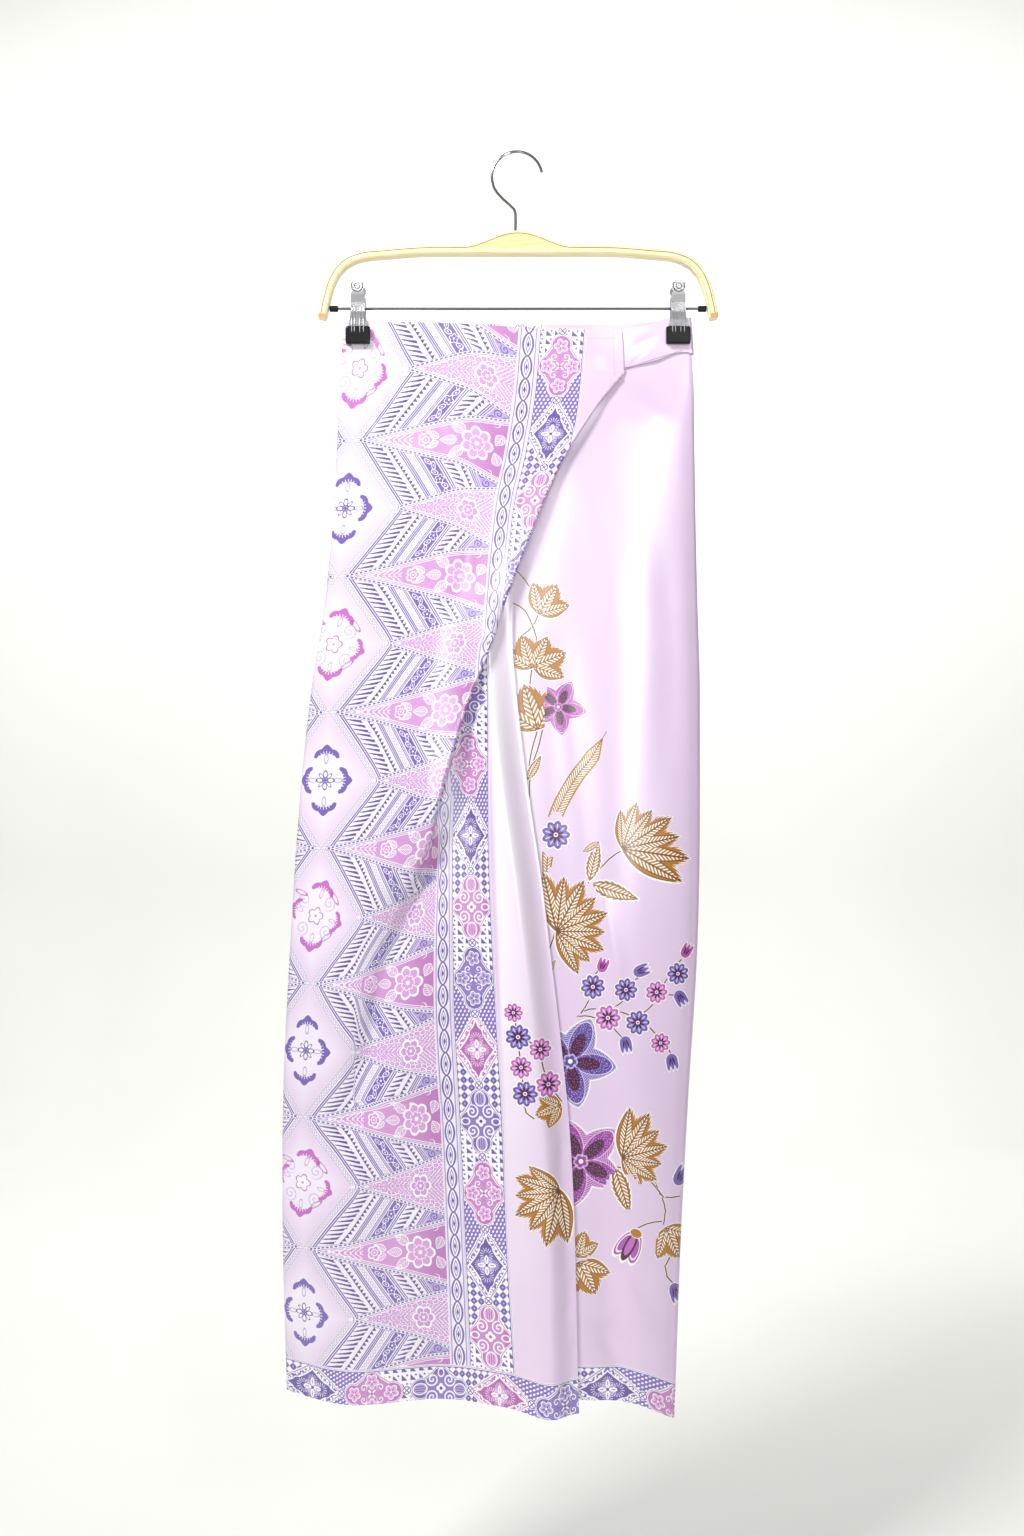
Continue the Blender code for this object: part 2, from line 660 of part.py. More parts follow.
def build_hook(steel, bar_top):
    points = []
    steps = 26
    for step in range(steps + 1):
        angle = math.radians(HOOK_TIP_ANGLE + (HOOK_END_ANGLE - HOOK_TIP_ANGLE) * step / steps)
        centre = WIRE_DIAMETER / 2 - HOOK_RADIUS
        points.append((HOOK_RADIUS * math.cos(angle), centre + HOOK_RADIUS * math.sin(angle)))
    points += HOOK_SWEEP
    foot = bar_top - STEM_SOCKET_DEPTH + GAP
    points += [(STEM_X, -64.0), (STEM_X, foot)]
    curve = bpy.data.curves.new("hook_wire", "CURVE")
    curve.dimensions = "3D"
    curve.bevel_depth = WIRE_DIAMETER / 2 * MM
    curve.bevel_resolution = 3
    curve.use_fill_caps = True
    line = curve.splines.new("POLY")
    line.points.add(len(points) - 1)
    for point, (x, z) in zip(line.points, points):
        point.co = (x * MM, 0.0, z * MM, 1.0)
    made = bpy.data.objects.new("hook_wire", curve)
    curve.materials.append(steel)
    bpy.context.scene.collection.objects.link(made)


def clip_plate(name, centre, side, inner, finish):
    """A pressed plate with a round lever top; inner is how far its back lies from the middle plane."""
    rows = []
    for step in range(1, 7):
        angle = math.pi * step / 7
        z = LEVER_Z + LEVER_RADIUS * math.cos(angle)
        half = LEVER_RADIUS * math.sin(angle)
        lean = LEVER_LEAN * (1 + (z - LEVER_Z) / 20.0)
        if z > PLATE_ROWS[0]["z"] + 1.5:
            rows.append((z, half, lean))
    rows += [(row["z"], row["half"], row["lean"]) for row in PLATE_ROWS]
    columns = 4
    points = []
    for back in (0.0, PLATE_THICKNESS):
        for z, half, lean in rows:
            for column in range(columns + 1):
                x = centre + half * (2 * column / columns - 1)
                points.append((x * MM, side * (inner + lean + back) * MM, z * MM))
    width = columns + 1
    count = len(rows) * width
    faces = []
    for row in range(len(rows) - 1):
        for column in range(columns):
            a = row * width + column
            quad = (a, a + 1, a + width + 1, a + width)
            faces.append(quad)
            faces.append(tuple(count + corner for corner in reversed(quad)))
    ring = list(range(width))
    ring += [row * width + columns for row in range(1, len(rows))]
    ring += [(len(rows) - 1) * width + column for column in range(columns - 1, -1, -1)]
    ring += [row * width for row in range(len(rows) - 2, 0, -1)]
    for index, here in enumerate(ring):
        after = ring[(index + 1) % len(ring)]
        faces.append((here, count + here, count + after, after))
    mesh = bpy.data.meshes.new(name)
    mesh.from_pydata(points, [], faces)
    face_outward(mesh)
    mesh.shade_smooth()
    mesh.set_sharp_from_angle(angle=math.radians(40))
    add_object(name, mesh, finish)


def clip_pad(name, centre, side, near, far, finish):
    """A rubber pad between the cloth and its plate."""
    work = bmesh.new()
    bmesh.ops.create_cube(work, size=1.0)
    mesh = bpy.data.meshes.new(name)
    for vert in work.verts:
        vert.co.x = (centre + vert.co.x * PAD_WIDTH) * MM
        vert.co.y = side * ((near + far) / 2 + vert.co.y * (far - near)) * MM
        vert.co.z = ((PAD_TOP + PAD_FOOT) / 2 + vert.co.z * (PAD_TOP - PAD_FOOT)) * MM
    work.to_mesh(mesh)
    work.free()
    face_outward(mesh)
    pad = add_object(name, mesh, finish)
    rounding = pad.modifiers.new("rounded corners", "BEVEL")
    rounding.width = 0.8 * MM
    rounding.segments = 2


def build_clips(steel, rubber):
    for name, centre in CLIP_X.items():
        inner = CLIP_FRONT_CLOTH + GAP + PAD_THICKNESS + GAP
        clip_plate(f"clip_{name}_front_plate", centre, -1, inner, steel)
        clip_plate(f"clip_{name}_rear_plate", centre, 1, inner, steel)
        outer = CLIP_FRONT_CLOTH + GAP + PAD_THICKNESS
        clip_pad(f"clip_{name}_front_pad", centre, -1, CLIP_FRONT_CLOTH + GAP, outer, rubber)
        clip_pad(f"clip_{name}_rear_pad", centre, 1, CLIP_BACK_CLOTH[name] + GAP, outer, rubber)
        spring_reach = 2 * (inner + PLATE_ROWS[1]["lean"] - GAP)
        spring = turned(f"clip_{name}_spring", tube_profile(spring_reach, ROD_SLEEVE_BORE, SPRING_LENGTH),
                        steel, 16)
        spring.rotation_euler = (0.0, math.pi / 2, 0.0)
        spring.location = (centre * MM, 0.0, ROD_Z * MM)


def main():
    clear_scene()
    wood = material("pale laminated wood", (0.86, 0.70, 0.42), 0.5)
    steel = material("bright plated steel", (0.80, 0.80, 0.82), 0.2, 1.0)
    rubber = material("black rubber", (0.02, 0.02, 0.022), 0.45)
    build_cloth()
    bar_top = build_bar(wood)
    build_hook(steel, bar_top)
    build_rod(steel, rubber)
    build_clips(steel, rubber)


main()
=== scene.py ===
"""Looks of the batik wrap skirt on its clip hanger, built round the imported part. Sizes are in millimetres."""

import math
from collections import namedtuple

import bpy
import numpy as np
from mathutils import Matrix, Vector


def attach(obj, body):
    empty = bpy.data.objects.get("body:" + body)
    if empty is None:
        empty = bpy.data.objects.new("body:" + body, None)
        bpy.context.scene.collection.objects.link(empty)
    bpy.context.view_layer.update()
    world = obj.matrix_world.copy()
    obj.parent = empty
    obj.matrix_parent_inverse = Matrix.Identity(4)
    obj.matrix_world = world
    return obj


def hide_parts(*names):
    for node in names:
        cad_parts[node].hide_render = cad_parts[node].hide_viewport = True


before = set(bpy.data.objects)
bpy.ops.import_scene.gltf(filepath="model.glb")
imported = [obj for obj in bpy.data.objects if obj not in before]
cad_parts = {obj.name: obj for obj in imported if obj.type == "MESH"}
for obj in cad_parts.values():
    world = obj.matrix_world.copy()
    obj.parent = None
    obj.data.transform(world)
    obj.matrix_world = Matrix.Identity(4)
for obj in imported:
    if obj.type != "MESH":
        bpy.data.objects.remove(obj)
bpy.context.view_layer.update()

MM = 0.001


def rows(columns, *values):
    """The rows of a table, each with its columns' names."""
    return [dict(zip(columns.split(), row)) for row in values]


def srgb(red, green, blue):
    """A colour read in a picture, as the linear value that a shader takes."""
    out = []
    for value in (red, green, blue):
        value /= 255.0
        out.append(value / 12.92 if value <= 0.04045 else ((value + 0.055) / 1.055) ** 2.4)
    return (*out, 1.0)


# Cloth sections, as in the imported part
WALL = 1.2
PITCH = 1.5
WAIST_Z = -170.0
HEM_LEVEL = 1013.0
LENS_POWER = 2.4
SEAM_HALF_GAP = 0.15

# The skirt's section at each level: its sides, its depths from the middle, and the radius of its side turns
OUTLINE = rows("level left right front back fold",
    (0, -164.5, 166.0, 4.0, 4.0, 2.5),
    (37, -168.0, 168.5, 5.0, 5.0, 3.0),
    (92, -171.0, 169.0, 8.0, 7.0, 3.5),
    (163, -174.5, 170.0, 11.0, 9.0, 4.0),
    (257, -183.0, 172.0, 14.0, 12.0, 4.5),
    (352, -197.5, 174.5, 17.0, 14.0, 5.0),
    (447, -207.0, 174.5, 19.0, 16.0, 5.0),
    (589, -216.5, 172.0, 22.0, 19.0, 5.5),
    (730, -223.0, 163.5, 25.0, 22.0, 6.0),
    (860, -223.5, 156.5, 27.0, 24.0, 6.0),
    (1013, -219.6, 150.0, 28.0, 26.0, 6.0))
# The drape at each level: its crest, how far it turns over and how round, the width of its turned stretch, and
# the overlap's free edge
DRAPE = rows("level fold turn width radius edge",
    (0, 80.0, 0, 4.0, 0.4, 99.6),
    (37, 92.0, 0, 4.0, 0.4, 101.5),
    (42, 97.5, 0, 2.0, 0.4, 101.8),
    (45, 99.6, 120, 1.0, 0.4, 99.3),
    (49, 96.6, 180, 2.0, 0.45, 95.8),
    (56, 90.3, 180, 7.5, 0.55, 89.2),
    (66, 81.8, 180, 15.0, 0.7, 80.2),
    (92, 64.0, 180, 27.0, 1.0, 49.8),
    (130, 41.0, 180, 37.0, 1.35, 24.0),
    (163, 26.3, 180, 45.0, 1.6, 7.5),
    (210, 8.0, 180, 46.0, 1.9, -1.0),
    (257, -9.5, 180, 46.0, 2.0, -3.8),
    (305, -25.0, 180, 41.0, 2.1, -4.0),
    (352, -44.3, 176, 31.0, 2.3, 0.0),
    (400, -59.0, 160, 21.0, 2.6, 5.5),
    (447, -72.0, 125, 13.0, 3.2, 11.7),
    (488, -82.0, 85, 8.0, 4.5, 17.8),
    (530, -101.0, 55, 7.0, 8.0, 24.0),
    (589, -126.0, 32, 6.0, 12.0, 31.0),
    (660, -143.0, 16, 5.0, 14.0, 39.5),
    (730, -150.0, 8, 5.0, 14.0, 47.0),
    (1013, -150.0, 4, 5.0, 14.0, 58.2))
OVERLAP_FOLDS = rows("name height spread line",
    ("puff", 6.0, 120.0, [(120, -60), (560, -80), (1013, -80)]),
    ("edge roll", 9.0, 21.0, [(250, -24), (352, -20), (589, 9), (918, 34), (1013, 35)]),
    ("drape trough", -8.0, 17.0, [(470, -84), (569, -112), (680, -140), (830, -180)]),
    ("valley", -7.0, 30.0, [(560, -52), (730, -50), (1013, -66)]),
    ("left ridge", 8.0, 34.0, [(560, -168), (800, -162), (1013, -158)]))
UNDER_FOLDS = rows("name height spread line",
    ("right ridge", 5.0, 27.0, [(50, 112), (352, 118), (620, 118), (900, 100)]),
    ("shadow side", -4.0, 18.0, [(230, 34), (589, 68), (1013, 92)]),
    ("hem dip", -4.0, 11.0, [(930, 74), (1040, 128)]))
BACK_FOLDS = rows("name height spread line",
    ("left ridge", 5.0, 30.0, [(90, -52), (560, -70), (1013, -92)]),
    ("middle trough", -4.0, 24.0, [(300, -8), (1013, -16)]),
    ("right ridge", 6.0, 32.0, [(200, 58), (620, 72), (1013, 66)]))
# Heights of the upper edges and of the hems and feet, as (x, height)
OVERLAP_TOP = [(-165, -160.4), (-140, -161.4), (-74, -163.3), (2, -167.6), (102, -170.0), (200, -170.0)]
BAND_TOP = [(98, -169.5), (127, -164.3), (138, -159.8), (167, -157.6)]
UNDER_TOP = [(-165, -161.6), (2, -168.5), (102, -171.2), (138, -161.0), (167, -158.8)]
BACK_TOP = [(-165, -160.0), (28, -162.4), (100, -162.4), (167, -157.6)]
OVERLAP_HEM = [(-220, -1178), (-150, -1181), (-72, -1178), (-10, -1184), (25, -1193), (60, -1192)]
UNDER_HEM = [(-200, -1178), (62, -1181), (105, -1186), (130, -1195), (150, -1206)]
BACK_HEM = [(-220, -1178), (0, -1188), (150, -1206)]
BAND_FOOT = [(98, -207.0), (130, -199.5), (160, -190.5), (170, -192.5)]
BAND_BACK_TOP = [(-10, -162.4), (100, -162.4), (170, -157.6)]
BAND_BACK_FOOT = [(-10, -202.0), (160, -192.5), (170, -192.5)]
DRAPE_LIFT_REACH = 110.0
UNDER_INSET = 16.0
OVERLAP_SLACK = 0.5
BAND_SLACK = 0.2
TOP_FADE = 90.0
HEM_FADE = 170.0
BAND_DROP = 37.0
SIDE_FADE = 14.0
UNDER_SHOWN = 250.0

# Where the printed lines run on the front at each level: the row of diamond tips, the outer corners of the
# diamonds, the chain as seen above and below the long fold, and the medallion strip's outer border
TIPS = [(0, -145.5), (106, -156.2), (236, -169.4), (364, -177.8), (493, -185.3), (620, -194.8), (746, -202.0),
        (860, -201.5), (1013, -199.0)]
CORNERS = [(0, -103.5), (44, -107.3), (174, -116.7), (304, -125.2), (433, -135.5), (562, -149.0),
           (683, -153.4), (801, -154.0), (932, -156.0), (1013, -156.0)]
CHAIN_ABOVE = [(0, 12.0), (71, 5.6), (118, -2.0), (165, -12.0), (207, -17.0), (262, -21.7), (305, -24.9)]
CHAIN_BELOW = [(400, -65.5), (429, -66.8), (504, -69.7), (620, -69.7), (746, -64.0), (860, -58.4),
               (1013, -52.5)]
BORDER_BELOW = [(257, -25.5), (447, -25.5), (635, -18.9), (729, -13.2), (870, -7.6), (1013, 1.5)]
EDGE_STRIP = [(0, 34.0), (66, 32.0), (257, 24.0), (447, 38.0), (620, 52.0), (746, 60.0), (1013, 59.0)]
HEM_PRINT = [(-220.0, 918.4), (-192.2, 890.4), (-135.5, 823.4), (-71.2, 756.4), (-16.3, 689.4), (44.7, 622.4),
             (70.0, 595.0)]
DRIFT = [(0, 0.0), (620, 1.7), (746, 4.6), (860, 10.0), (1013, 14.0)]
DRIFT_INNER = [(0, -16.5), (36, -16.5), (300, -2.0), (413, 8.0), (1013, 8.0)]
# The levels where the corners reach the long fold and where the chain and the border go under it or show again
CORNERS_PASS_FOLD = 640
CHAIN_GOES_UNDER = 300
CHAIN_SHOWS_AGAIN = 440
BORDER_SHOWS_AGAIN = 310

# The print's own coordinates at the long fold: where it goes under, and where it shows again beside it
FOLD_PRINT = rows("level above below",
    (49, 246.0, 248.0),
    (66, 232.8, 242.0),
    (92, 217.3, 240.0),
    (130, 201.0, 239.0),
    (163, 195.3, 238.0),
    (210, 182.2, 236.0),
    (257, 168.9, 229.0),
    (305, 157.0, 211.0),
    (352, 140.4, 188.4),
    (400, 128.4, 169.6),
    (447, 118.4, 151.4),
    (488, 112.0, 142.0),
    (530, 96.5, 124.0),
    (589, 76.0, 104.0),
    (660, 64.0, 84.0),
    (730, 58.0, 70.0))

# The print: half the diamonds' width, their spacing, and the strips beside the chevrons
PERIOD = 129.0
HALF = 47.0
TIP_LEVEL = 106.0
CHEVRON_END = 148.5
CHAIN_MIDDLE = 157.0
CHAIN_END = 165.5
MEDAL_MIDDLE = 188.5
MEDAL_END = 211.5
MEDAL_SPACING = 67.0
MEDAL_START = 421.4
LINK = 21.3
HEM_STRIP = 980.0
HEM_CENTRE = 1003.0
DAISY_PETALS = 9
# Fine rules across the chevron bands, as (distance from the zigzag, half width)
RULES = ((6.9, 0.55), (8.9, 0.5), (31.5, 0.42), (33.3, 0.5), (35.0, 0.42), (42.4, 0.34), (44.0, 0.34),
         (56.9, 0.5), (58.8, 0.5), (79.0, 0.5), (80.9, 0.5), (82.8, 0.42))
# Leaves in the tall cones, as (base, turn, length, half width)
CONE_SPRIGS = (((108, 7), 146, 17, 4.8), ((108, -8), 212, 17, 4.8), ((144, 15), 242, 13, 4.8),
               ((144, -15), 118, 13, 4.8), ((101, 0), 180, 16, 4.4), ((84, 2), 158, 14, 3.2),
               ((84, -2), 206, 14, 3.2))
# The slots of two materials on every printed cloth; the chevrons and the chain have slots 0 and 1
MEDALLIONS, PLAIN = 2, 3


WHITE = srgb(250, 246, 252)
GROUND = srgb(243, 234, 247)
LILAC = srgb(228, 205, 233)
LINE = srgb(98, 74, 154)
VIOLET = srgb(124, 102, 182)
PALE_VIOLET = srgb(184, 166, 218)
PINK = srgb(212, 156, 212)
PALE_PINK = srgb(226, 178, 226)
MAGENTA = srgb(178, 84, 172)
MAROON = srgb(66, 2, 50)
CREAM = srgb(251, 249, 236)
GOLD = srgb(182, 118, 26)
BROWN = srgb(104, 60, 26)

# Creases on top of the large folds, each along a line of (x, level) points: soft ridges and troughs of uneven
# length, depth and spread, which rise over the first share of their line and fade over the last
CREASES = dict(
    above=rows("depth spread line",
        (0.25, 9.0, [(96, 30), (80, 26), (56, 22), (30, 24)]),
        (-0.3, 9.0, [(80, 50), (66, 52), (48, 54), (10, 60)]),
        (0.4, 10.0, [(60, 70), (40, 86), (10, 110), (-8, 140)]),
        (-0.7, 8.0, [(50, 76), (30, 84), (0, 98), (-40, 114)]),
        (0.9, 8.0, [(-150, 20), (-146, 60), (-140, 120)]),
        (-0.8, 7.0, [(-128, 8), (-122, 48), (-112, 100)]),
        (0.7, 9.0, [(-100, 30), (-70, 90), (-60, 170)]),
        (-0.9, 14.0, [(-90, 150), (-60, 260), (-70, 360)]),
        (1.2, 16.0, [(-140, 200), (-120, 300), (-118, 420)]),
        (-1.0, 12.0, [(-160, 260), (-158, 380), (-172, 520)]),
        (1.0, 12.0, [(-30, 120), (-50, 220), (-74, 330)])),
    below=rows("depth spread line",
        (-1.6, 9.0, [(-120, 660), (-150, 720), (-178, 800)]),
        (1.1, 12.0, [(-100, 640), (-122, 740), (-132, 860)]),
        (-1.0, 10.0, [(-90, 700), (-108, 800), (-112, 920)]),
        (0.8, 7.0, [(33, 724), (35, 740), (40, 752)]),
        (-0.9, 5.0, [(46, 760), (38, 790), (42, 830)]),
        (0.9, 4.0, [(50, 828), (43, 840), (30, 846)]),
        (-0.8, 4.0, [(52, 860), (45, 866), (34, 868)]),
        (0.9, 5.0, [(52, 884), (44, 894), (26, 900)]),
        (-1.0, 4.5, [(53, 912), (46, 922), (32, 930)]),
        (0.8, 5.0, [(54, 942), (46, 952), (30, 956)]),
        (-0.7, 4.0, [(54, 974), (46, 984), (34, 990)]),
        (-0.35, 3.5, [(33, 700), (40, 760), (45, 840), (47, 1005)]),
        (1.0, 14.0, [(-10, 420), (2, 560), (16, 700)])),
    under=rows("depth spread line",
        (-4.4, 27.0, [(112, 50), (118, 352), (118, 620), (100, 900)]),
        (2.8, 58.0, [(108, 60), (118, 352), (118, 620), (100, 900)]),
        (2.8, 18.0, [(34, 230), (68, 589), (92, 1013)]),
        (0.5, 8.0, [(104, 60), (128, 76), (150, 86)]),
        (-0.7, 9.0, [(92, 66), (70, 96), (48, 130)]),
        (0.35, 14.0, [(60, 130), (84, 220), (96, 330)]),
        (-1.4, 18.0, [(52, 116), (30, 160), (12, 214), (6, 262), (12, 330)]),
        (-0.9, 14.0, [(140, 180), (146, 320), (144, 460)]),
        (1.2, 9.0, [(70, 500), (92, 600), (96, 700)]),
        (-1.5, 9.0, [(72, 880), (96, 940), (128, 986)]),
        (1.2, 8.0, [(90, 880), (116, 930), (140, 960)]),
        (-0.8, 3.5, [(142, 940), (150, 946)]),
        (0.8, 18.0, [(110, 640), (128, 760), (118, 860)])),
    band=rows("depth spread line",
        (-0.6, 3.4, [(103, 39), (116, 28), (138, 14)]),
        (0.6, 3.0, [(108, 41), (124, 32), (150, 22)]),
        (0.4, 4.0, [(108, 18), (122, 10), (136, 4)])),
    back=rows("depth spread line",
        (1.2, 9.0, [(150, 30), (120, 90), (100, 180)]),
        (-1.1, 8.0, [(140, 20), (106, 60), (70, 84)]),
        (1.0, 8.0, [(-148, 24), (-120, 80), (-98, 150)]),
        (-1.0, 9.0, [(-140, 12), (-104, 48), (-66, 70)]),
        (-1.3, 15.0, [(-130, 260), (-112, 420), (-124, 600)]),
        (1.2, 16.0, [(20, 160), (30, 330), (16, 520)]),
        (-1.2, 12.0, [(110, 300), (122, 470), (114, 640)]),
        (1.3, 14.0, [(-30, 480), (-44, 640), (-52, 820)]),
        (-1.2, 12.0, [(30, 640), (24, 780), (34, 930)]),
        (1.0, 10.0, [(120, 700), (112, 830), (104, 950)])),
)
CREASE_START = 0.3
CREASE_END = 0.4

# Floral spray: the front and under panels from the photo's places, as (x, level), size in millimetres and turn
FRONT_MOTIFS = rows("kind at size turn",
    ("leaf3", (20.5, 271.5), 34, -58),
    ("leaf3", (14.0, 323), 34, -108),
    ("leaf3", (15.0, 321), 35, -22),
    ("leaf3", (19.5, 381), 46, -107),
    ("orchid_magenta", (38.8, 359.5), 27, -62),
    ("leaf1", (9.5, 428.5), 27, -60),
    ("daisy_violet", (36.6, 480.2), 13.5, 0),
    ("fan8", (99.4, 493.3), 57, -32),
    ("leaf1", (68.3, 523.6), 39, -77),
    ("leaf1", (77.3, 486.7), 20, 147),
    ("leaf1", (69.2, 526.3), 48, 18),
    ("fan9", (37.2, 571.0), 53, -20),
    ("leaf1", (28.0, 612), 17, -60),
    ("daisy_violet", (71.4, 623.2), 11.5, 10),
    ("daisy_violet", (102.4, 626.0), 11.0, 0),
    ("daisy_pink", (131.6, 628.8), 10.5, 0),
    ("daisy_violet", (152.3, 611.9), 10.5, 20),
    ("bud_pink", (80.8, 602.5), 8, -70),
    ("bud_violet", (117.5, 608.1), 9, -20),
    ("bud_pink", (160.8, 590.2), 8, -60),
    ("bud_violet", (155.1, 635.4), 9, 60),
    ("daisy_pink", (85.5, 652.3), 12.0, 0),
    ("daisy_violet", (113.7, 657.0), 11.5, 0),
    ("bud_violet", (102.4, 677.7), 9, 80),
    ("daisy_pink", (135.4, 676.8), 9.5, 0),
    ("bud_violet", (146.6, 695.6), 9, 80),
    ("orchid_violet", (50.0, 693.0), 44, 8),
    ("orchid_pink", (60.0, 787.0), 44, 30),
    ("fan7", (98.7, 784.0), 46, -12),
    ("leaf1", (91.8, 793.0), 47, 72),
    ("tulip", (112.0, 856.0), 28, 118),
    ("leaf3", (140.5, 852.0), 32, 64),
    ("bud_violet", (156.0, 804.0), 11, -60),
    ("bud_violet", (150.4, 908.2), 9, 70),
    ("leaf3", (57.0, 877.0), 26, -75),
    ("leaf3", (57.5, 882.0), 36, 62))
FRONT_STEMS = [
    [(-1.1, 229.5), (9.4, 241.5), (16.3, 256.7), (20.5, 271.5)],
    [(20.5, 271.5), (15.2, 282.4), (9.0, 289.0), (3.8, 292.6)],
    [(-3.8, 261.2), (5.7, 266.2), (13.2, 279.4), (18.5, 298.3), (18.5, 309.6), (15.0, 321.0)],
    [(14.0, 323.0), (12.0, 340.0), (12.5, 362.0), (19.5, 381.0)],
    [(19.5, 381.0), (14.0, 400.0), (9.5, 428.5)],
    [(24.0, 381.0), (20.0, 398.0), (14.0, 416.0), (11.0, 452.0)],
    [(36, 572), (30, 590), (27, 612)],
    [(80.0, 789.0), (93.1, 792.4), (110.9, 796.6), (127.1, 808.5), (136.9, 823.2), (140.1, 834.5),
     (138.5, 849.0)],
    [(130.4, 808.5), (137.8, 822.5), (154.6, 823.8)],
    [(136.9, 845.8), (123.9, 846.7), (113.5, 851.0)],
    [(144.9, 878.1), (140.1, 886.2), (141.7, 894.3), (149.2, 901.4)],
    [(56.6, 651.3), (62.4, 645.0), (67.4, 636.0)],
    [(58.4, 649.9), (64.7, 645.0), (74.1, 643.8)],
    [(58.4, 651.0), (65.6, 650.4), (73.2, 652.4)],
    [(92.6, 641.4), (97.1, 638.7), (99.4, 636.6)],
    [(97.1, 646.5), (105.2, 649.5)],
    [(91.2, 662.5), (95.3, 667.1), (99.4, 671.5)],
    [(119.6, 647.7), (124.1, 644.1), (128.2, 640.2)],
    [(139.0, 620.7), (142.1, 615.9)],
    [(153.4, 600.9), (156.5, 597.3)],
    [(143.3, 631.5), (149.3, 632.1)],
    [(125.3, 662.1), (131.3, 668.9)],
    [(143.0, 682.8), (145.7, 688.2)],
    [(72.8, 612.6), (76.4, 607.8)],
    [(111.1, 617.1), (114.2, 614.4)],
    [(98.9, 494.8), (89.0, 501.1), (80.0, 510.1), (71.9, 518.2), (67.0, 525.7)],
]
FEATHERS = [
    [(79.8, 390.8), (69.9, 407.8), (56.7, 424.7), (46.1, 441.8), (37.8, 458.8), (32.5, 476), (29.5, 494),
     (28.0, 512), (27.5, 530), (28.0, 552)],
]
STRIP_MOTIFS = rows("kind at size turn",
    ("daisy_pink", (-3.4, 645.7), 9.0, 0),
    ("daisy_violet", (0.9, 668.3), 12.0, 0),
    ("daisy_pink", (21.6, 679.6), 10.5, 0),
    ("daisy_pink", (3.7, 696.5), 10.5, 10),
    ("daisy_pink", (29.1, 712.5), 12.0, 0),
    ("daisy_violet", (7.5, 721.0), 12.0, 0),
    ("leaf3", (41.0, 733.0), 26, 163),
    ("fan7", (39.4, 811.4), 49, 150))
STRIP_STEMS = [
    [(-3, 646), (-1, 658), (1, 668)],
    [(1, 668), (12, 672), (21, 680)],
    [(1, 668), (2, 682), (4, 696)],
    [(21, 680), (24, 696), (29, 712)],
    [(4, 696), (5, 708), (7, 721)],
    [(29, 712), (36, 722), (42, 730)],
    [(7, 721), (8, 738), (16, 744)],
]
# How far the material of a stem, a long leaf or a motif reaches; a motif's reach is the place of its middle
# and its radius, both as shares of its size
STEM_REACH = 7.0
STEM_SLOT_REACH = 5.0
FEATHER_REACH = 10.0
FACE_SIZE = 3.4
MOTIF_REACH = dict(leaf1=(0.5, 0.62), leaf3=(0.5, 0.8))
FAR_AWAY = 99.0

# The hanger: the bar's half outline as (x, height), the hump on it, and the steps of the clips' boots and ribs
BAR_LINE = [(0, -93.8), (45, -93.6), (80, -93.6), (127, -96.6), (150, -99.2), (164, -105), (173, -114),
            (179.5, -127), (183.6, -142), (187, -158.5)]
BAR_MIDDLE = 1.0
BAR_HALF_DEPTH = 6.0
BAR_STATIONS = 110
HUMP_HALF_HEIGHT = 7.1
HUMP_REACH = 54.0
BOOT_STEPS = ((6.9, 0.0), (7.9, 0.0), (8.3, 0.4), (8.5, 1.1))
RIB_STEPS = ((-149.5, 6.5, 0.2), (-152, 6.8, 0.5), (-160, 7.2, 0.6), (-166, 8.1, 0.6), (-171.5, 8.7, 0.55),
             (-173.2, 8.5, 0.25))
RIB_OFFSETS = (-5.6, -2.9, 2.1, 5.6)
DIMPLE_Z = -130.0

# The backdrop, in metres: its floor, where the bend starts, and the bend's radius
PAPER_Z = -1.46
PAPER_Y = 2.2
PAPER_BEND = 0.6

# Grids of the shells: the rows' levels, and the columns' print coordinates
ROWS = np.concatenate([np.arange(0.0, 36.0, 3.0), np.arange(36.0, 96.0, 2.0), np.arange(96.0, 150.0, 3.0),
                       np.linspace(150.0, HEM_STRIP, 176)[:-1], np.linspace(HEM_STRIP, HEM_LEVEL, 11)])
INNER_US = np.concatenate([
    np.linspace(0.0, CHEVRON_END, 66)[:-1],
    np.linspace(CHEVRON_END, CHAIN_END, 11)[:-1],
    np.linspace(CHAIN_END, MEDAL_END, 33),
])
BACK_US = np.concatenate([
    np.linspace(32.0, CHEVRON_END, 44)[:-1],
    np.linspace(CHEVRON_END, CHAIN_END, 9)[:-1],
    np.linspace(CHAIN_END, MEDAL_END, 23),
])
SEAM_COLUMNS = 12
EDGE_COLUMNS = 34
SECTION_COLUMNS = 240
ROUND_STEPS = 8
BAND_ROWS = 18
SHELL = 0.5
BAND_SHELL = 0.8
ABOVE, TURNED, BELOW = 0, 1, 2
Nearest = namedtuple("Nearest", "away which along points ends")


# Smooth curves and the sections


def read_curve(at, known, values):
    """A smooth curve through the known values, read at some places, level beyond both ends."""
    known = np.asarray(known, float)
    values = np.asarray(values, float)
    slopes = np.gradient(values, known)
    flat = np.diff(values) == 0
    slopes[:-1][flat] = 0.0
    slopes[1:][flat] = 0.0
    at = np.clip(np.asarray(at, float), known[0], known[-1])
    place = np.clip(np.searchsorted(known, at, side="right") - 1, 0, len(known) - 2)
    width = known[place + 1] - known[place]
    part = (at - known[place]) / width
    start = values[place]
    end = values[place + 1]
    rise = (2 * part**3 - 3 * part**2 + 1) * start + (3 * part**2 - 2 * part**3) * end
    bend = (part**3 - 2 * part**2 + part) * slopes[place] + (part**3 - part**2) * slopes[place + 1]
    return rise + bend * width


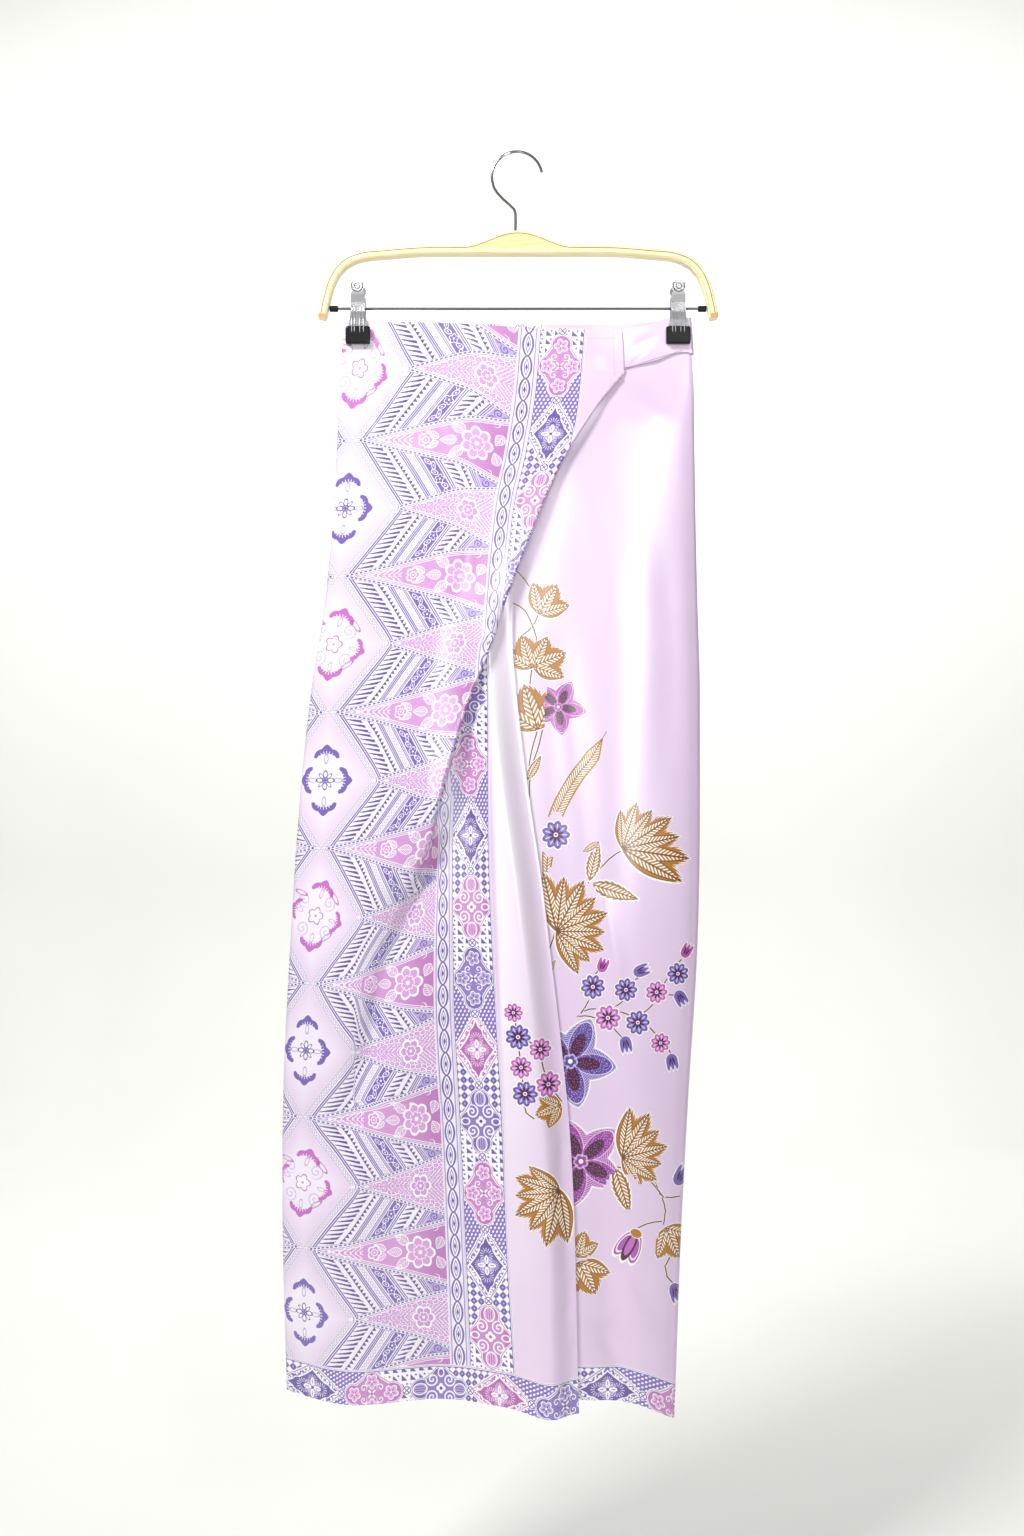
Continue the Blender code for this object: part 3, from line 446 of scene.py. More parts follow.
def read_table(table, column, level):
    """One column of a table, read at a level."""
    return read_curve(level, [row["level"] for row in table], [row[column] for row in table])


def read_line(points, at):
    return read_curve(at, [point[0] for point in points], [point[1] for point in points])


def smooth_step(value):
    value = np.clip(value, 0.0, 1.0)
    return value * value * (3 - 2 * value)


def way_along(points):
    """The way along a broken line to each of its points."""
    return np.concatenate([[0.0], np.cumsum(np.hypot(*np.diff(points, axis=0).T))])


def lengths_along(x, depth):
    return way_along(np.stack([x, depth], axis=1))


def nearest_on(line, x, y):
    """The nearest place of a broken line: how far away, on which segment, and the way along the line."""
    points = np.array(line, float)
    ends = way_along(points)
    nearest = np.full(x.shape, 1e9)
    which = np.zeros(x.shape, int)
    along = np.zeros(x.shape)
    for index, (start, end) in enumerate(zip(points, points[1:])):
        span = end - start
        length = math.hypot(*span)
        part = np.clip(((x - start[0]) * span[0] + (y - start[1]) * span[1]) / length**2, 0.0, 1.0)
        away = np.hypot(x - start[0] - part * span[0], y - start[1] - part * span[1])
        closer = away < nearest
        nearest = np.where(closer, away, nearest)
        which = np.where(closer, index, which)
        along = np.where(closer, ends[index] + part * length, along)
    return Nearest(nearest, which, along, points, ends)


def on_segment(points, which, x, y):
    """Way along and signed distance of places measured from the chosen segment's own line."""
    start = points[which]
    span = points[which + 1] - start
    length = np.hypot(span[..., 0], span[..., 1])
    ahead = span / length[..., None]
    dx = x - start[..., 0]
    dy = y - start[..., 1]
    along = dx * ahead[..., 0] + dy * ahead[..., 1]
    across = dx * ahead[..., 1] - dy * ahead[..., 0]
    return along, across, length


def smooth_line(line, step=6.0):
    """A broken line with its corners rounded, so that a stem reads as one curve."""
    points = np.array(line, float)
    if len(points) < 3:
        return points
    ends = way_along(points)
    at = np.linspace(0, ends[-1], max(int(ends[-1] / step), 4))
    return np.stack([read_curve(at, ends, points[:, 0]), read_curve(at, ends, points[:, 1])], axis=1)


def fold_rise(folds, x, level):
    """Outward moves of the large folds at arrays of places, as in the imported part."""
    rise = np.zeros(np.broadcast(x, level).shape)
    for fold in folds:
        first = fold["line"][0][0]
        last = fold["line"][-1][0]
        fade_in = smooth_step((level - first) / (0.25 * (last - first)))
        fade_out = 1.0 if last >= HEM_LEVEL else smooth_step((last - level) / (0.25 * (last - first)))
        across = (x - read_line(fold["line"], level)) / fold["spread"]
        rise = rise + fold["height"] * fade_in * fade_out * np.exp(-across * across)
    return rise


def crease_rise(creases, x, level):
    """Outward moves of the creases at arrays of places, fading towards both ends of each line."""
    rise = np.zeros(x.shape)
    for crease in creases:
        spread = crease["spread"]
        low = np.min(crease["line"], axis=0) - 3 * spread
        high = np.max(crease["line"], axis=0) + 3 * spread
        inside = (x > low[0]) & (x < high[0]) & (level > low[1]) & (level < high[1])
        if inside.any():
            near = nearest_on(crease["line"], x[inside], level[inside])
            part = near.along / near.ends[-1]
            fade = smooth_step(part / CREASE_START) * smooth_step((1 - part) / CREASE_END)
            rise[inside] += crease["depth"] * fade * np.exp(-((near.away / spread) ** 2))
    return rise


def ripple(x, level, seed, size):
    """Faint unevenness of the cloth, so that no stretch is perfectly even."""
    out = np.zeros(np.broadcast(x, level).shape)
    source = np.random.default_rng(seed)
    for _ in range(7):
        wave_x = source.uniform(0.02, 0.06)
        wave_level = source.uniform(0.004, 0.02)
        out = out + np.sin(x * wave_x + level * wave_level + source.uniform(0, 6.28))
    return out * size / 7


def hollow_depth(side, folds, x, level):
    """Half depth of the skirt's hollow on one side, closed where the clips hold it."""
    left = read_table(OUTLINE, "left", level)
    right = read_table(OUTLINE, "right", level)
    across = np.abs((x - 0.5 * (left + right)) / (0.5 * (right - left) - 1.0))
    lens = np.clip(1.0 - across**LENS_POWER, 0.0, 1.0) ** (1.0 / LENS_POWER)
    held = smooth_step((np.abs(x) - 66.0) / 68.0) * (1.0 - smooth_step((level - 18.0) / 74.0))
    depth = read_table(OUTLINE, side, level) * lens + fold_rise(folds, x, level) * lens
    return np.maximum(depth * (1.0 - held), 0.0) + SEAM_HALF_GAP


def front_base(x, level):
    return hollow_depth("front", UNDER_FOLDS, x, level)


def back_base(x, level):
    return hollow_depth("back", BACK_FOLDS, x, level)


def height_at(level, x, top, hem):
    """Heights of places on a panel, moved at its ends to its upper edge and its hem."""
    plain = WAIST_Z - level
    top_part = 1.0 - smooth_step(level / TOP_FADE)
    hem_part = smooth_step((level - HEM_LEVEL + HEM_FADE) / HEM_FADE)
    top_move = read_line(top, x) - WAIST_Z
    hem_move = read_line(hem, x) - (WAIST_Z - HEM_LEVEL)
    return plain + top_part * top_move + hem_part * hem_move


def fitted_radius(wanted, depth):
    return min(wanted, depth - SEAM_HALF_GAP)


def side_round(edge, radius, depth, inward):
    """A quarter turn from the side's outermost point to the panel, as places and depths."""
    angle = 0.5 * math.pi * np.arange(ROUND_STEPS) / ROUND_STEPS
    return edge + inward * radius * (1 - np.cos(angle)), depth * np.sin(angle)


def overlap_depth(x, level, edge):
    lift = PITCH * smooth_step((x + 70.0) / 60.0) * smooth_step((level - 40.0) / 60.0)
    rise = np.maximum(fold_rise(OVERLAP_FOLDS, x, level), 0.0)
    side = read_table(OUTLINE, "left", level)
    rise = rise * smooth_step((x - side) / 40.0) * smooth_step((edge - x) / 26.0)
    slack = OVERLAP_SLACK * smooth_step((level - 12.0) / 40.0)
    return front_base(x, level) + PITCH + 0.5 * WALL + lift + rise + slack


def drape_turn(level):
    """How far the cloth turns over at the long fold, as an angle that is never quite zero."""
    return math.radians(max(float(read_table(DRAPE, "turn", level)), 1.0))


def drape_path(turn, width, radius, along):
    """Places and drops along the turned stretch: a bend, a straight run and a bend back."""
    arc = radius * turn
    first = np.clip(along, 0.0, arc) / radius
    straight = np.clip(along - arc, 0.0, width)
    second = np.clip(along - arc - width, 0.0, arc) / radius
    x = radius * np.sin(first) + straight * math.cos(turn) + radius * (math.sin(turn) - np.sin(turn - second))
    back = radius * (np.cos(turn - second) - math.cos(turn))
    drop = radius * (1 - np.cos(first)) + straight * math.sin(turn) + back
    return x, drop


def overlap_section(level):
    """The overlap's section at one level: places, depths, and where the turned stretch starts and ends."""
    left, fold = (float(read_table(OUTLINE, column, level)) for column in ("left", "fold"))
    columns = ("edge", "fold", "width", "radius")
    edge, crest, width, bend = (float(read_table(DRAPE, column, level)) for column in columns)
    turn = drape_turn(level)
    start = crest - bend * math.sin(min(turn, math.pi / 2))
    total = 2 * bend * turn + width
    return_x, total_drop = (float(value[0]) for value in drape_path(turn, width, bend, np.array([total])))
    turned_under = start + min(return_x, 0.0) - bend
    radius = fitted_radius(fold, float(overlap_depth(left + fold, level, edge)))
    side_x, side_depth = side_round(left, radius, float(overlap_depth(left + radius, level, edge)), 1)
    lead_x = np.linspace(left + radius, start, 170)[:-1]
    near = smooth_step((lead_x - left) / max(turned_under - left, 1.0))
    lifted = total_drop * near * smooth_step((lead_x - turned_under) / DRAPE_LIFT_REACH + 1.0)
    lead_depth = overlap_depth(lead_x, level, edge) + lifted
    stations = np.linspace(0.0, total, int(total / 0.4) + 6)
    reach, drop = drape_path(turn, width, bend, stations)
    turned_x = start + reach
    turned_depth = overlap_depth(turned_x, level, edge) + total_drop - drop
    tail_x = np.linspace(turned_x[-1], edge, 90)[1:]
    tail_depth = overlap_depth(tail_x, level, edge)
    x = np.concatenate([side_x, lead_x, turned_x, tail_x])
    depth = np.concatenate([side_depth, lead_depth, turned_depth, tail_depth])
    above_end = len(side_x) + len(lead_x)
    return x, depth, above_end, above_end + len(turned_x) - 1


# Where the print lies on the cloth


def print_along(level, x, s, above_end, below_start):
    """The print's own coordinate at every point of the overlap's section."""
    above_x, above_s = x[:above_end], s[:above_end]
    below_x, below_s = x[below_start:], s[below_start:]

    def place_of(line, known_x, known_s):
        return float(np.interp(float(read_line(line, level)), known_x, known_s))

    tips_s = place_of(TIPS, above_x, above_s)
    anchors = [(tips_s, 0.0)]
    if level < CORNERS_PASS_FOLD:
        anchors.append((place_of(CORNERS, above_x, above_s), HALF))
    if level < CHAIN_GOES_UNDER:
        anchors.append((place_of(CHAIN_ABOVE, above_x, above_s), CHAIN_MIDDLE))
        border = float(read_line(CHAIN_ABOVE, level)) + (MEDAL_END - CHAIN_MIDDLE)
        if border < above_x[-1] - 3:
            anchors.append((float(np.interp(border, above_x, above_s)), MEDAL_END))
    free = float(1.0 - smooth_step((level - 190.0) / 67.0))
    if FOLD_PRINT[0]["level"] <= level <= FOLD_PRINT[-1]["level"]:
        above, below = (float(read_table(FOLD_PRINT, column, level)) for column in ("above", "below"))
        anchors.append((above_s[-1], above))
        show_s = float(np.interp(max(above_x[-1], below_x[0] + 0.5), below_x, below_s))
        anchors.append((show_s, (1 - free) * below + free * (above + show_s - above_s[-1])))
    if level > CORNERS_PASS_FOLD:
        anchors.append((place_of(CORNERS, x, s), HALF))
    if level > CHAIN_SHOWS_AGAIN:
        anchors.append((place_of(CHAIN_BELOW, below_x, below_s), CHAIN_MIDDLE))
    if level > BORDER_SHOWS_AGAIN:
        anchors.append((place_of(BORDER_BELOW, below_x, below_s), MEDAL_END))
    anchors.sort()
    last_s, last_u = anchors[-1]
    strip_end = MEDAL_END + float(read_line(EDGE_STRIP, level))
    edge = (1 - free) * strip_end + free * (last_u + max(s[-1] - last_s, 1.0))
    if level < 257 and s[-1] <= last_s:
        anchors = [anchor for anchor in anchors if anchor[0] < s[-1] - 1.0]
        edge = anchors[-1][1] + s[-1] - anchors[-1][0]
    anchors.append((s[-1], edge))
    kept = [anchors[0]]
    for place, value in anchors[1:]:
        if place > kept[-1][0] + 0.5 and value > kept[-1][1] + 0.3:
            kept.append((place, value))
    if kept[-1][0] < s[-1] - 1e-6:
        kept[-1] = (s[-1], max(edge, kept[-2][1] + 1.0))
    return np.where(s < tips_s, s - tips_s, np.interp(s, *np.array(kept).T))


def print_height(level, u):
    """The print's own height at a level; the inner strips run a little apart from the chevrons."""
    outer = read_line(DRIFT, level)
    inner = read_line(DRIFT_INNER, level)
    part = smooth_step((np.abs(u) - 100.0) / 60.0)
    return level + outer * (1 - part) + inner * part


def print_corners(u, v, level, hem_along):
    """Print coordinates at the face corners, with the strip along the hem turned on its side."""
    values = np.stack([at_corners(u), at_corners(v), np.zeros(at_corners(u).shape)], axis=3)
    hem_rows = at_corners(level).mean(axis=2) > HEM_STRIP
    values[hem_rows, :, 0] = MEDAL_MIDDLE + (HEM_CENTRE - at_corners(level))[hem_rows]
    values[hem_rows, :, 1] = at_corners(hem_along)[hem_rows]
    return values, hem_rows


def zone_slots(u, hem_rows):
    """Which print each face wears: chevrons, chain, medallions or plain cloth, and medallions along the hem."""
    middle = np.abs(at_corners(u).mean(axis=2))
    slots = np.searchsorted([CHEVRON_END, CHAIN_END, MEDAL_END], middle, side="right")
    slots[hem_rows] = MEDALLIONS
    return slots


def shifted(spray, move):
    """A spray again at another place, for a part of the cloth that the photo doesn't show."""
    motifs, *groups = spray
    places = [[dict(motif, at=(motif["at"][0] + move[0], motif["at"][1] + move[1])) for motif in motifs]]
    for lines in groups:
        places.append([[(x + move[0], level + move[1]) for x, level in line] for line in lines])
    return places


def floral_faces(x, level, allowed, spray, slots_of, slots):
    """Gives faces near the motifs their material and their own coordinates; returns the two corner arrays."""
    motifs, stems, feathers = spray
    cx, cy = at_corners(x), at_corners(level)
    mid_x, mid_y = cx.mean(axis=2), cy.mean(axis=2)
    motif_values = np.zeros(cx.shape + (3,))
    stem_values = np.zeros(cx.shape + (3,))
    stem_values[..., 0] = FAR_AWAY
    nearest = np.full(mid_x.shape, STEM_REACH)
    for line in stems:
        near = nearest_on(smooth_line(line), mid_x, mid_y)
        here = allowed & (near.away < nearest)
        chosen = np.repeat(near.which[here][:, None], 4, axis=1)
        along, across, length = on_segment(near.points, chosen, cx[here], cy[here])
        before = np.where(chosen == 0, -along, -50.0)
        after = np.where(chosen == len(near.points) - 2, along - length, -50.0)
        stem_values[here, :, 0] = across
        stem_values[here, :, 1] = np.maximum(before, after)
        nearest = np.where(here, near.away, nearest)
        slots[here & (near.away < STEM_SLOT_REACH)] = slots_of["stem"]
    for line in feathers:
        near = nearest_on(smooth_line(line, 8.0), mid_x, mid_y)
        here = allowed & (near.away < FEATHER_REACH)
        chosen = np.repeat(near.which[here][:, None], 4, axis=1)
        along, across, _ = on_segment(near.points, chosen, cx[here], cy[here])
        way = along + near.ends[chosen]
        motif_values[here] = np.stack([way, across, near.ends[-1] - way], axis=2)
        slots[here] = slots_of["feather"]
    taken = np.full(mid_x.shape, 9.0)
    for motif in motifs:
        kind, size = motif["kind"], motif["size"]
        (px, py), angle = motif["at"], math.radians(motif["turn"])
        ahead = (math.cos(angle), math.sin(angle))
        start, radius = MOTIF_REACH.get(kind, (0.5, 1.05) if kind.startswith("fan") else (0.0, 1.25))
        away = np.hypot(mid_x - (px + ahead[0] * size * start), mid_y - (py + ahead[1] * size * start))
        away /= radius * size + FACE_SIZE
        here = allowed & (away < 1.0) & (away < taken)
        dx, dy = cx[here] - px, cy[here] - py
        motif_values[here, :, 0] = (dx * ahead[0] + dy * ahead[1]) / size
        motif_values[here, :, 1] = (-dx * ahead[1] + dy * ahead[0]) / size
        slots[here] = slots_of[kind]
        taken = np.where(here, away, taken)
    return dict(motif=motif_values, stem=stem_values)


# Shells


def crowd(places, low, high, turns, extra):
    """Moves the columns between two places closer together within the fold's turns, so that those stay round."""
    if extra <= 0 or high - low < 6:
        return places
    fine = np.linspace(low, high, 500)
    density = np.ones(fine.shape)
    for start, end in turns:
        density += extra * smooth_step((fine - start) / 1.5 + 1) * smooth_step((end - fine) / 1.5 + 1)
    share = np.cumsum(density)
    share = (share - share[0]) / (share[-1] - share[0])
    inside = (places > low) & (places < high)
    out = places.copy()
    out[inside] = np.interp((places[inside] - low) / (high - low), share, fine)
    return out


def overlap_shell_grid():
    """Rows of points with their print coordinates and levels, finer where the cloth turns over."""
    table = []
    for level in ROWS:
        x, depth, above_end, below_start = overlap_section(float(level))
        s = lengths_along(x, depth)
        u = print_along(float(level), x, s, above_end, below_start)
        left_part = np.linspace(u[0], 0.0, SEAM_COLUMNS + 1)[:-1]
        edge_part = np.linspace(MEDAL_END, u[-1], EDGE_COLUMNS + 1)[1:]
        places = np.interp(np.concatenate([left_part, INNER_US, edge_part]), u, s)
        bend = float(read_table(DRAPE, "radius", level))
        start, end = s[above_end], s[below_start]
        arc = min(bend * drape_turn(level), (end - start) / 2)
        hidden_end = max(end + 1.0, float(np.interp(x[above_end] - 2.0, x[below_start:], s[below_start:])))
        extra = 5.0 * float(smooth_step((level - 46.0) / 10.0) * smooth_step((8.0 - bend) / 3.0))
        places = crowd(places, start - 3.0, hidden_end, [(start, start + arc), (end - arc, end)], extra)
        layer = np.where(places < start, ABOVE, np.where(places < end, TURNED, BELOW))
        if level < 45:
            layer[:] = ABOVE
        table.append((np.interp(places, s, x), np.interp(places, s, depth), np.interp(places, s, u), layer))
    x, depth, u, layer = (np.array(column) for column in zip(*table))
    level = np.repeat(ROWS[:, None], x.shape[1], axis=1)
    above = crease_rise(CREASES["above"], x, level)
    below = crease_rise(CREASES["below"], x, level)
    seam_fade = smooth_step((x - read_table(OUTLINE, "left", ROWS)[:, None]) / SIDE_FADE)
    soft = ripple(x, level, 3, 0.5)
    depth = depth + (np.where(layer == ABOVE, above, 0.0) + np.where(layer == BELOW, below, 0.0)) * seam_fade
    depth = depth + np.where(layer == TURNED, 0.0, soft) * seam_fade * smooth_step((level - 30) / 60)
    z = height_at(level, x, OVERLAP_TOP, OVERLAP_HEM)
    return np.stack([x, -depth, z], axis=2), u, print_height(level, u), level


def plain_section(level, low, base, round_low):
    """A panel's section from low to the right side, with a quarter turn there and, if asked, at its start."""
    radius = float(read_table(OUTLINE, "fold", level))
    high = right_of_inner(level)
    xs, depths = [], []
    start = low
    if round_low:
        turn = fitted_radius(radius, float(base(low + radius, level)) + 0.5 * WALL)
        start = low + turn
        x, depth = side_round(low, turn, float(base(start, level)) + 0.5 * WALL, 1)
        xs.append(x)
        depths.append(depth)
    turn = fitted_radius(radius, float(base(high - radius, level)) + 0.5 * WALL)
    middle = np.linspace(start, high - turn, SECTION_COLUMNS)
    x, depth = side_round(high, turn, float(base(high - turn, level)) + 0.5 * WALL, -1)
    xs += [middle, x[::-1]]
    depths += [base(middle, level) + 0.5 * WALL, depth[::-1]]
    return np.concatenate(xs), np.concatenate(depths)


def right_of_inner(level):
    return float(read_table(OUTLINE, "right", level) - PITCH * (1 - smooth_step((level - 30) / 40)))


def seam_print(level):
    """The print's coordinate where the overlap meets the back at the left side."""
    x, depth, above_end, below_start = overlap_section(float(level))
    s = lengths_along(x, depth)
    return float(print_along(float(level), x, s, above_end, below_start)[0])


def back_shell_grid():
    table = []
    for level in ROWS:
        x, depth = plain_section(level, float(read_table(OUTLINE, "left", level)), back_base, True)
        s = lengths_along(x, depth)
        start = -seam_print(level)
        first = np.linspace(start, BACK_US[0], 11)[:-1]
        last = np.linspace(MEDAL_END, start + s[-1], 62)[1:]
        wanted = np.concatenate([first, BACK_US, last])
        table.append((np.interp(wanted - start, s, x), np.interp(wanted - start, s, depth), -wanted))
    x, depth, u = (np.array(column) for column in zip(*table))
    level = np.repeat(ROWS[:, None], x.shape[1], axis=1)
    left = read_table(OUTLINE, "left", ROWS)[:, None]
    right = read_table(OUTLINE, "right", ROWS)[:, None]
    fade = smooth_step((x - left) / SIDE_FADE) * smooth_step((right - x) / SIDE_FADE)
    uneven = crease_rise(CREASES["back"], x, level) + ripple(x, level, 8, 0.6)
    depth = depth + uneven * fade * smooth_step(level / 40)
    z = height_at(level, x, BACK_TOP, BACK_HEM)
    return np.stack([x, depth, z], axis=2), u, print_height(level, u), level


def under_shell_grid():
    table = []
    for level in ROWS:
        low = float(read_table(OUTLINE, "left", level)) + UNDER_INSET
        x, depth = plain_section(level, low, front_base, False)
        s = lengths_along(x, depth)
        shown = s[-1] - UNDER_SHOWN
        wanted = np.concatenate([np.linspace(0.0, shown, 14)[:-1], np.linspace(shown, s[-1], 100)])
        table.append((np.interp(wanted, s, x), np.interp(wanted, s, depth)))
    x, depth = (np.array(column) for column in zip(*table))
    level = np.repeat(ROWS[:, None], x.shape[1], axis=1)
    fade = smooth_step((read_table(OUTLINE, "right", ROWS)[:, None] - x) / SIDE_FADE)
    uneven = crease_rise(CREASES["under"], x, level) + ripple(x, level, 5, 0.5)
    depth = depth + uneven * fade * smooth_step(level / 40)
    z = height_at(level, x, UNDER_TOP, UNDER_HEM)
    return np.stack([x, -depth, z], axis=2), level


def band_shell_grid(side, base, start_at, top, foot, columns):
    """The band on one side of the waist, from its start to a quarter turn at the right."""
    grid = []
    angle = 0.5 * math.pi * np.arange(ROUND_STEPS - 1, -1, -1) / ROUND_STEPS
    for part in np.arange(BAND_ROWS + 1) / BAND_ROWS:
        nominal = BAND_DROP * part
        high = float(read_table(OUTLINE, "right", nominal))
        radius = fitted_radius(high, float(base(high - PITCH, nominal)) + PITCH + 0.5 * WALL)
        end = high - radius
        plain = np.linspace(start_at(nominal), end, columns)
        x = np.concatenate([plain, high - radius * (1 - np.cos(angle))])
        z = read_line(top, x) * (1 - part) + read_line(foot, x) * part
        full = np.array([float(base(min(px, end), WAIST_Z - pz)) for px, pz in zip(x, z)])
        full = full + PITCH + BAND_SLACK + 0.5 * WALL
        depth = full * np.concatenate([np.ones(columns), np.sin(angle)])
        if side < 0:
            depth = depth + crease_rise(CREASES["band"], x, WAIST_Z - z)
        grid.append(np.stack([x, side * depth, z], axis=1))
    return np.array(grid)


def normals_of(grid):
    along = np.gradient(grid, axis=0)
    across = np.gradient(grid, axis=1)
    normal = np.cross(across, along)
    return normal / np.maximum(np.linalg.norm(normal, axis=2, keepdims=True), 1e-9)


def at_corners(values):
    """Values at a grid's points, as the four corners of each face."""
    return np.stack([values[:-1, :-1], values[:-1, 1:], values[1:, 1:], values[1:, :-1]], axis=2)


def shell(name, grid, materials, slots, corners, thickness=SHELL):
    """A thin closed cloth about a grid of points: slots gives each face its material and corners its values."""
    rows, columns = grid.shape[:2]
    normal = normals_of(grid)
    outer = (grid + normal * thickness / 2).reshape(-1, 3)
    inner = (grid - normal * thickness / 2).reshape(-1, 3)
    count = rows * columns
    index = np.arange(count).reshape(rows, columns)
    a = index[:-1, :-1].ravel()
    b = index[:-1, 1:].ravel()
    c = index[1:, 1:].ravel()
    d = index[1:, :-1].ravel()
    outside = np.stack([a, b, c, d], axis=1)
    inside = np.stack([d, c, b, a], axis=1) + count
    ring = np.concatenate([index[0, :], index[1:, -1], index[-1, -2::-1], index[-2:0:-1, 0]])
    after = np.roll(ring, -1)
    rim = np.stack([ring, ring + count, after + count, after], axis=1)
    faces = np.concatenate([outside, inside, rim])
    mesh = bpy.data.meshes.new(name)
    mesh.vertices.add(2 * count)
    mesh.vertices.foreach_set("co", (np.concatenate([outer, inner]) * MM).ravel().astype(np.float32))
    mesh.loops.add(faces.size)
    mesh.loops.foreach_set("vertex_index", faces.ravel().astype(np.int32))
    mesh.polygons.add(len(faces))
    mesh.polygons.foreach_set("loop_start", np.arange(0, faces.size, 4, dtype=np.int32))
    face_slots = slots.ravel()
    rim_slots = np.full(len(rim), int(face_slots[0]))
    all_slots = np.concatenate([face_slots, face_slots, rim_slots])
    mesh.polygons.foreach_set("material_index", all_slots.astype(np.int32))
    mesh.polygons.foreach_set("use_smooth", np.ones(len(faces), bool))
    for key, values in corners.items():
        front = values.reshape(-1, 4, 3)
        back = front[:, ::-1]
        edge = np.zeros((len(rim), 4, 3))
        if key == "print":
            flat = np.zeros((count, 3))
            flat[outside.ravel()] = front.reshape(-1, 3)
            edge = flat[rim % count]
        stored = mesh.attributes.new(key, "FLOAT_VECTOR", "CORNER")
        stored.data.foreach_set("vector", np.concatenate([front, back, edge]).ravel().astype(np.float32))
    for material in materials:
        mesh.materials.append(material)
    mesh.update(calc_edges=True)
    mesh.validate()
    mesh.set_sharp_from_angle(angle=math.radians(60))
    made = bpy.data.objects.new(name, mesh)
    bpy.context.scene.collection.objects.link(made)
    return made


# Shader arithmetic


def math_node(operation):
    """A method of Num that puts its number and any others into one math node."""
    def method(self, *others):
        return self.math(operation, *others)
    return method


class Num:
    """A number in a node tree, a socket or a plain value, with ordinary arithmetic."""

    def __init__(self, tree, source):
        self.tree = tree
        self.source = source

    def math(self, operation, *others):
        inputs = dict(enumerate((self, *others)))
        return Num(self.tree, add_node(self.tree, "Math", inputs, operation=operation).outputs[0])

    def __rsub__(self, other):
        return Num(self.tree, other).math("SUBTRACT", self)

    def wrap(self, size):
        """The value repeated every size, from minus half to plus half of it."""
        return self.math("WRAP", size / 2, -size / 2)

    __add__ = __radd__ = math_node("ADD")
    __sub__ = math_node("SUBTRACT")
    __mul__ = __rmul__ = math_node("MULTIPLY")
    __truediv__ = math_node("DIVIDE")
    __lt__ = math_node("LESS_THAN")
    __gt__ = math_node("GREATER_THAN")
    __abs__ = math_node("ABSOLUTE")
    fract = math_node("FRACT")
    floor = math_node("FLOOR")
    modulo = math_node("FLOORED_MODULO")
    bounce = math_node("PINGPONG")
    sin = math_node("SINE")
    cos = math_node("COSINE")
    root = math_node("SQRT")
    power = math_node("POWER")
    least = math_node("MINIMUM")
    most = math_node("MAXIMUM")
    # with a value and a half width: 1 within that half width of the value, else 0
    near = math_node("COMPARE")


def put(tree, value, socket):
    """Links a number to a socket, or sets the socket's own value."""
    if isinstance(value, Num):
        value = value.source
    if isinstance(value, (int, float)):
        socket.default_value = float(value)
    elif isinstance(value, tuple):
        socket.default_value = value
    else:
        tree.links.new(value, socket)


def fill(tree, node, inputs):
    """Sets or links a node's inputs, given by name or place."""
    for name, value in inputs.items():
        put(tree, value, node.inputs[name])


def add_node(tree, kind, inputs=None, **settings):
    """A new shader node with its settings, and its inputs set or linked."""
    node = tree.nodes.new("ShaderNode" + kind)
    for name, value in settings.items():
        setattr(node, name, value)
    fill(tree, node, inputs or {})
    return node


def node_material(name):
    made = bpy.data.materials.new(name)
    made.use_nodes = True
    return made, made.node_tree, made.node_tree.nodes["Principled BSDF"]


def object_noise(tree, **inputs):
    """Noise that is fixed to the object, so that it stays in place in every view."""
    where = add_node(tree, "TexCoord").outputs["Object"]
    return add_node(tree, "TexNoise", dict(Vector=where, **inputs)).outputs[0]


def ramp_between(tree, value, *stops):
    """A colour that goes from one stop to the other as the value rises."""
    node = add_node(tree, "ValToRGB", {0: value})
    for element, (position, colour) in zip(node.color_ramp.elements, stops):
        element.position = position
        element.color = srgb(*colour)
    return node.outputs[0]


def any_of(masks):
    """1 where any of the masks is."""
    whole, *others = masks
    for mask in others:
        whole = whole.most(mask)
    return whole


def far(x, y):
    """Length of a vector."""
    return (x * x + y * y).root()


def turned(x, y, degrees):
    """Coordinates turned by an angle."""
    c = math.cos(math.radians(degrees))
    s = math.sin(math.radians(degrees))
    return x * c + y * s, y * c - x * s


def angle_of(x, y):
    return y.math("ARCTAN2", x)


def oval(x, y, middle, size, degrees=0.0):
    """A number below 1 within an ellipse and above 1 outside it."""
    px, py = x - middle[0], y - middle[1]
    if degrees:
        px, py = turned(px, py, degrees)
    px = px / size[0]
    py = py / size[1]
    return px * px + py * py


def swell_of(x, fullness):
    """The outline of a leaf from its foot at 0 to its tip at 1, as a share of its greatest half width."""
    return (x.most(0.0).least(1.0).power(fullness) * math.pi).sin()


def flower_rim(x, y, petals, radius, depth, spin=0.0):
    """How far a point is outside a flower's scalloped rim, in the units of its place."""
    a = angle_of(x, y) + spin
    return far(x, y) - abs((a * (petals / 2)).cos()) * depth - (radius - depth)


def petal_ring(x, y, petals, reach, size, spin=0.0):
    """A number below 1 within any of the oval petals set round a point."""
    step = 2 * math.pi / petals
    local = ((angle_of(x, y) + spin) / step).wrap(1.0) * step
    r = far(x, y)
    px = (r * local.cos() - reach) / size[0]
    py = r * local.sin() / size[1]
    return px * px + py * py


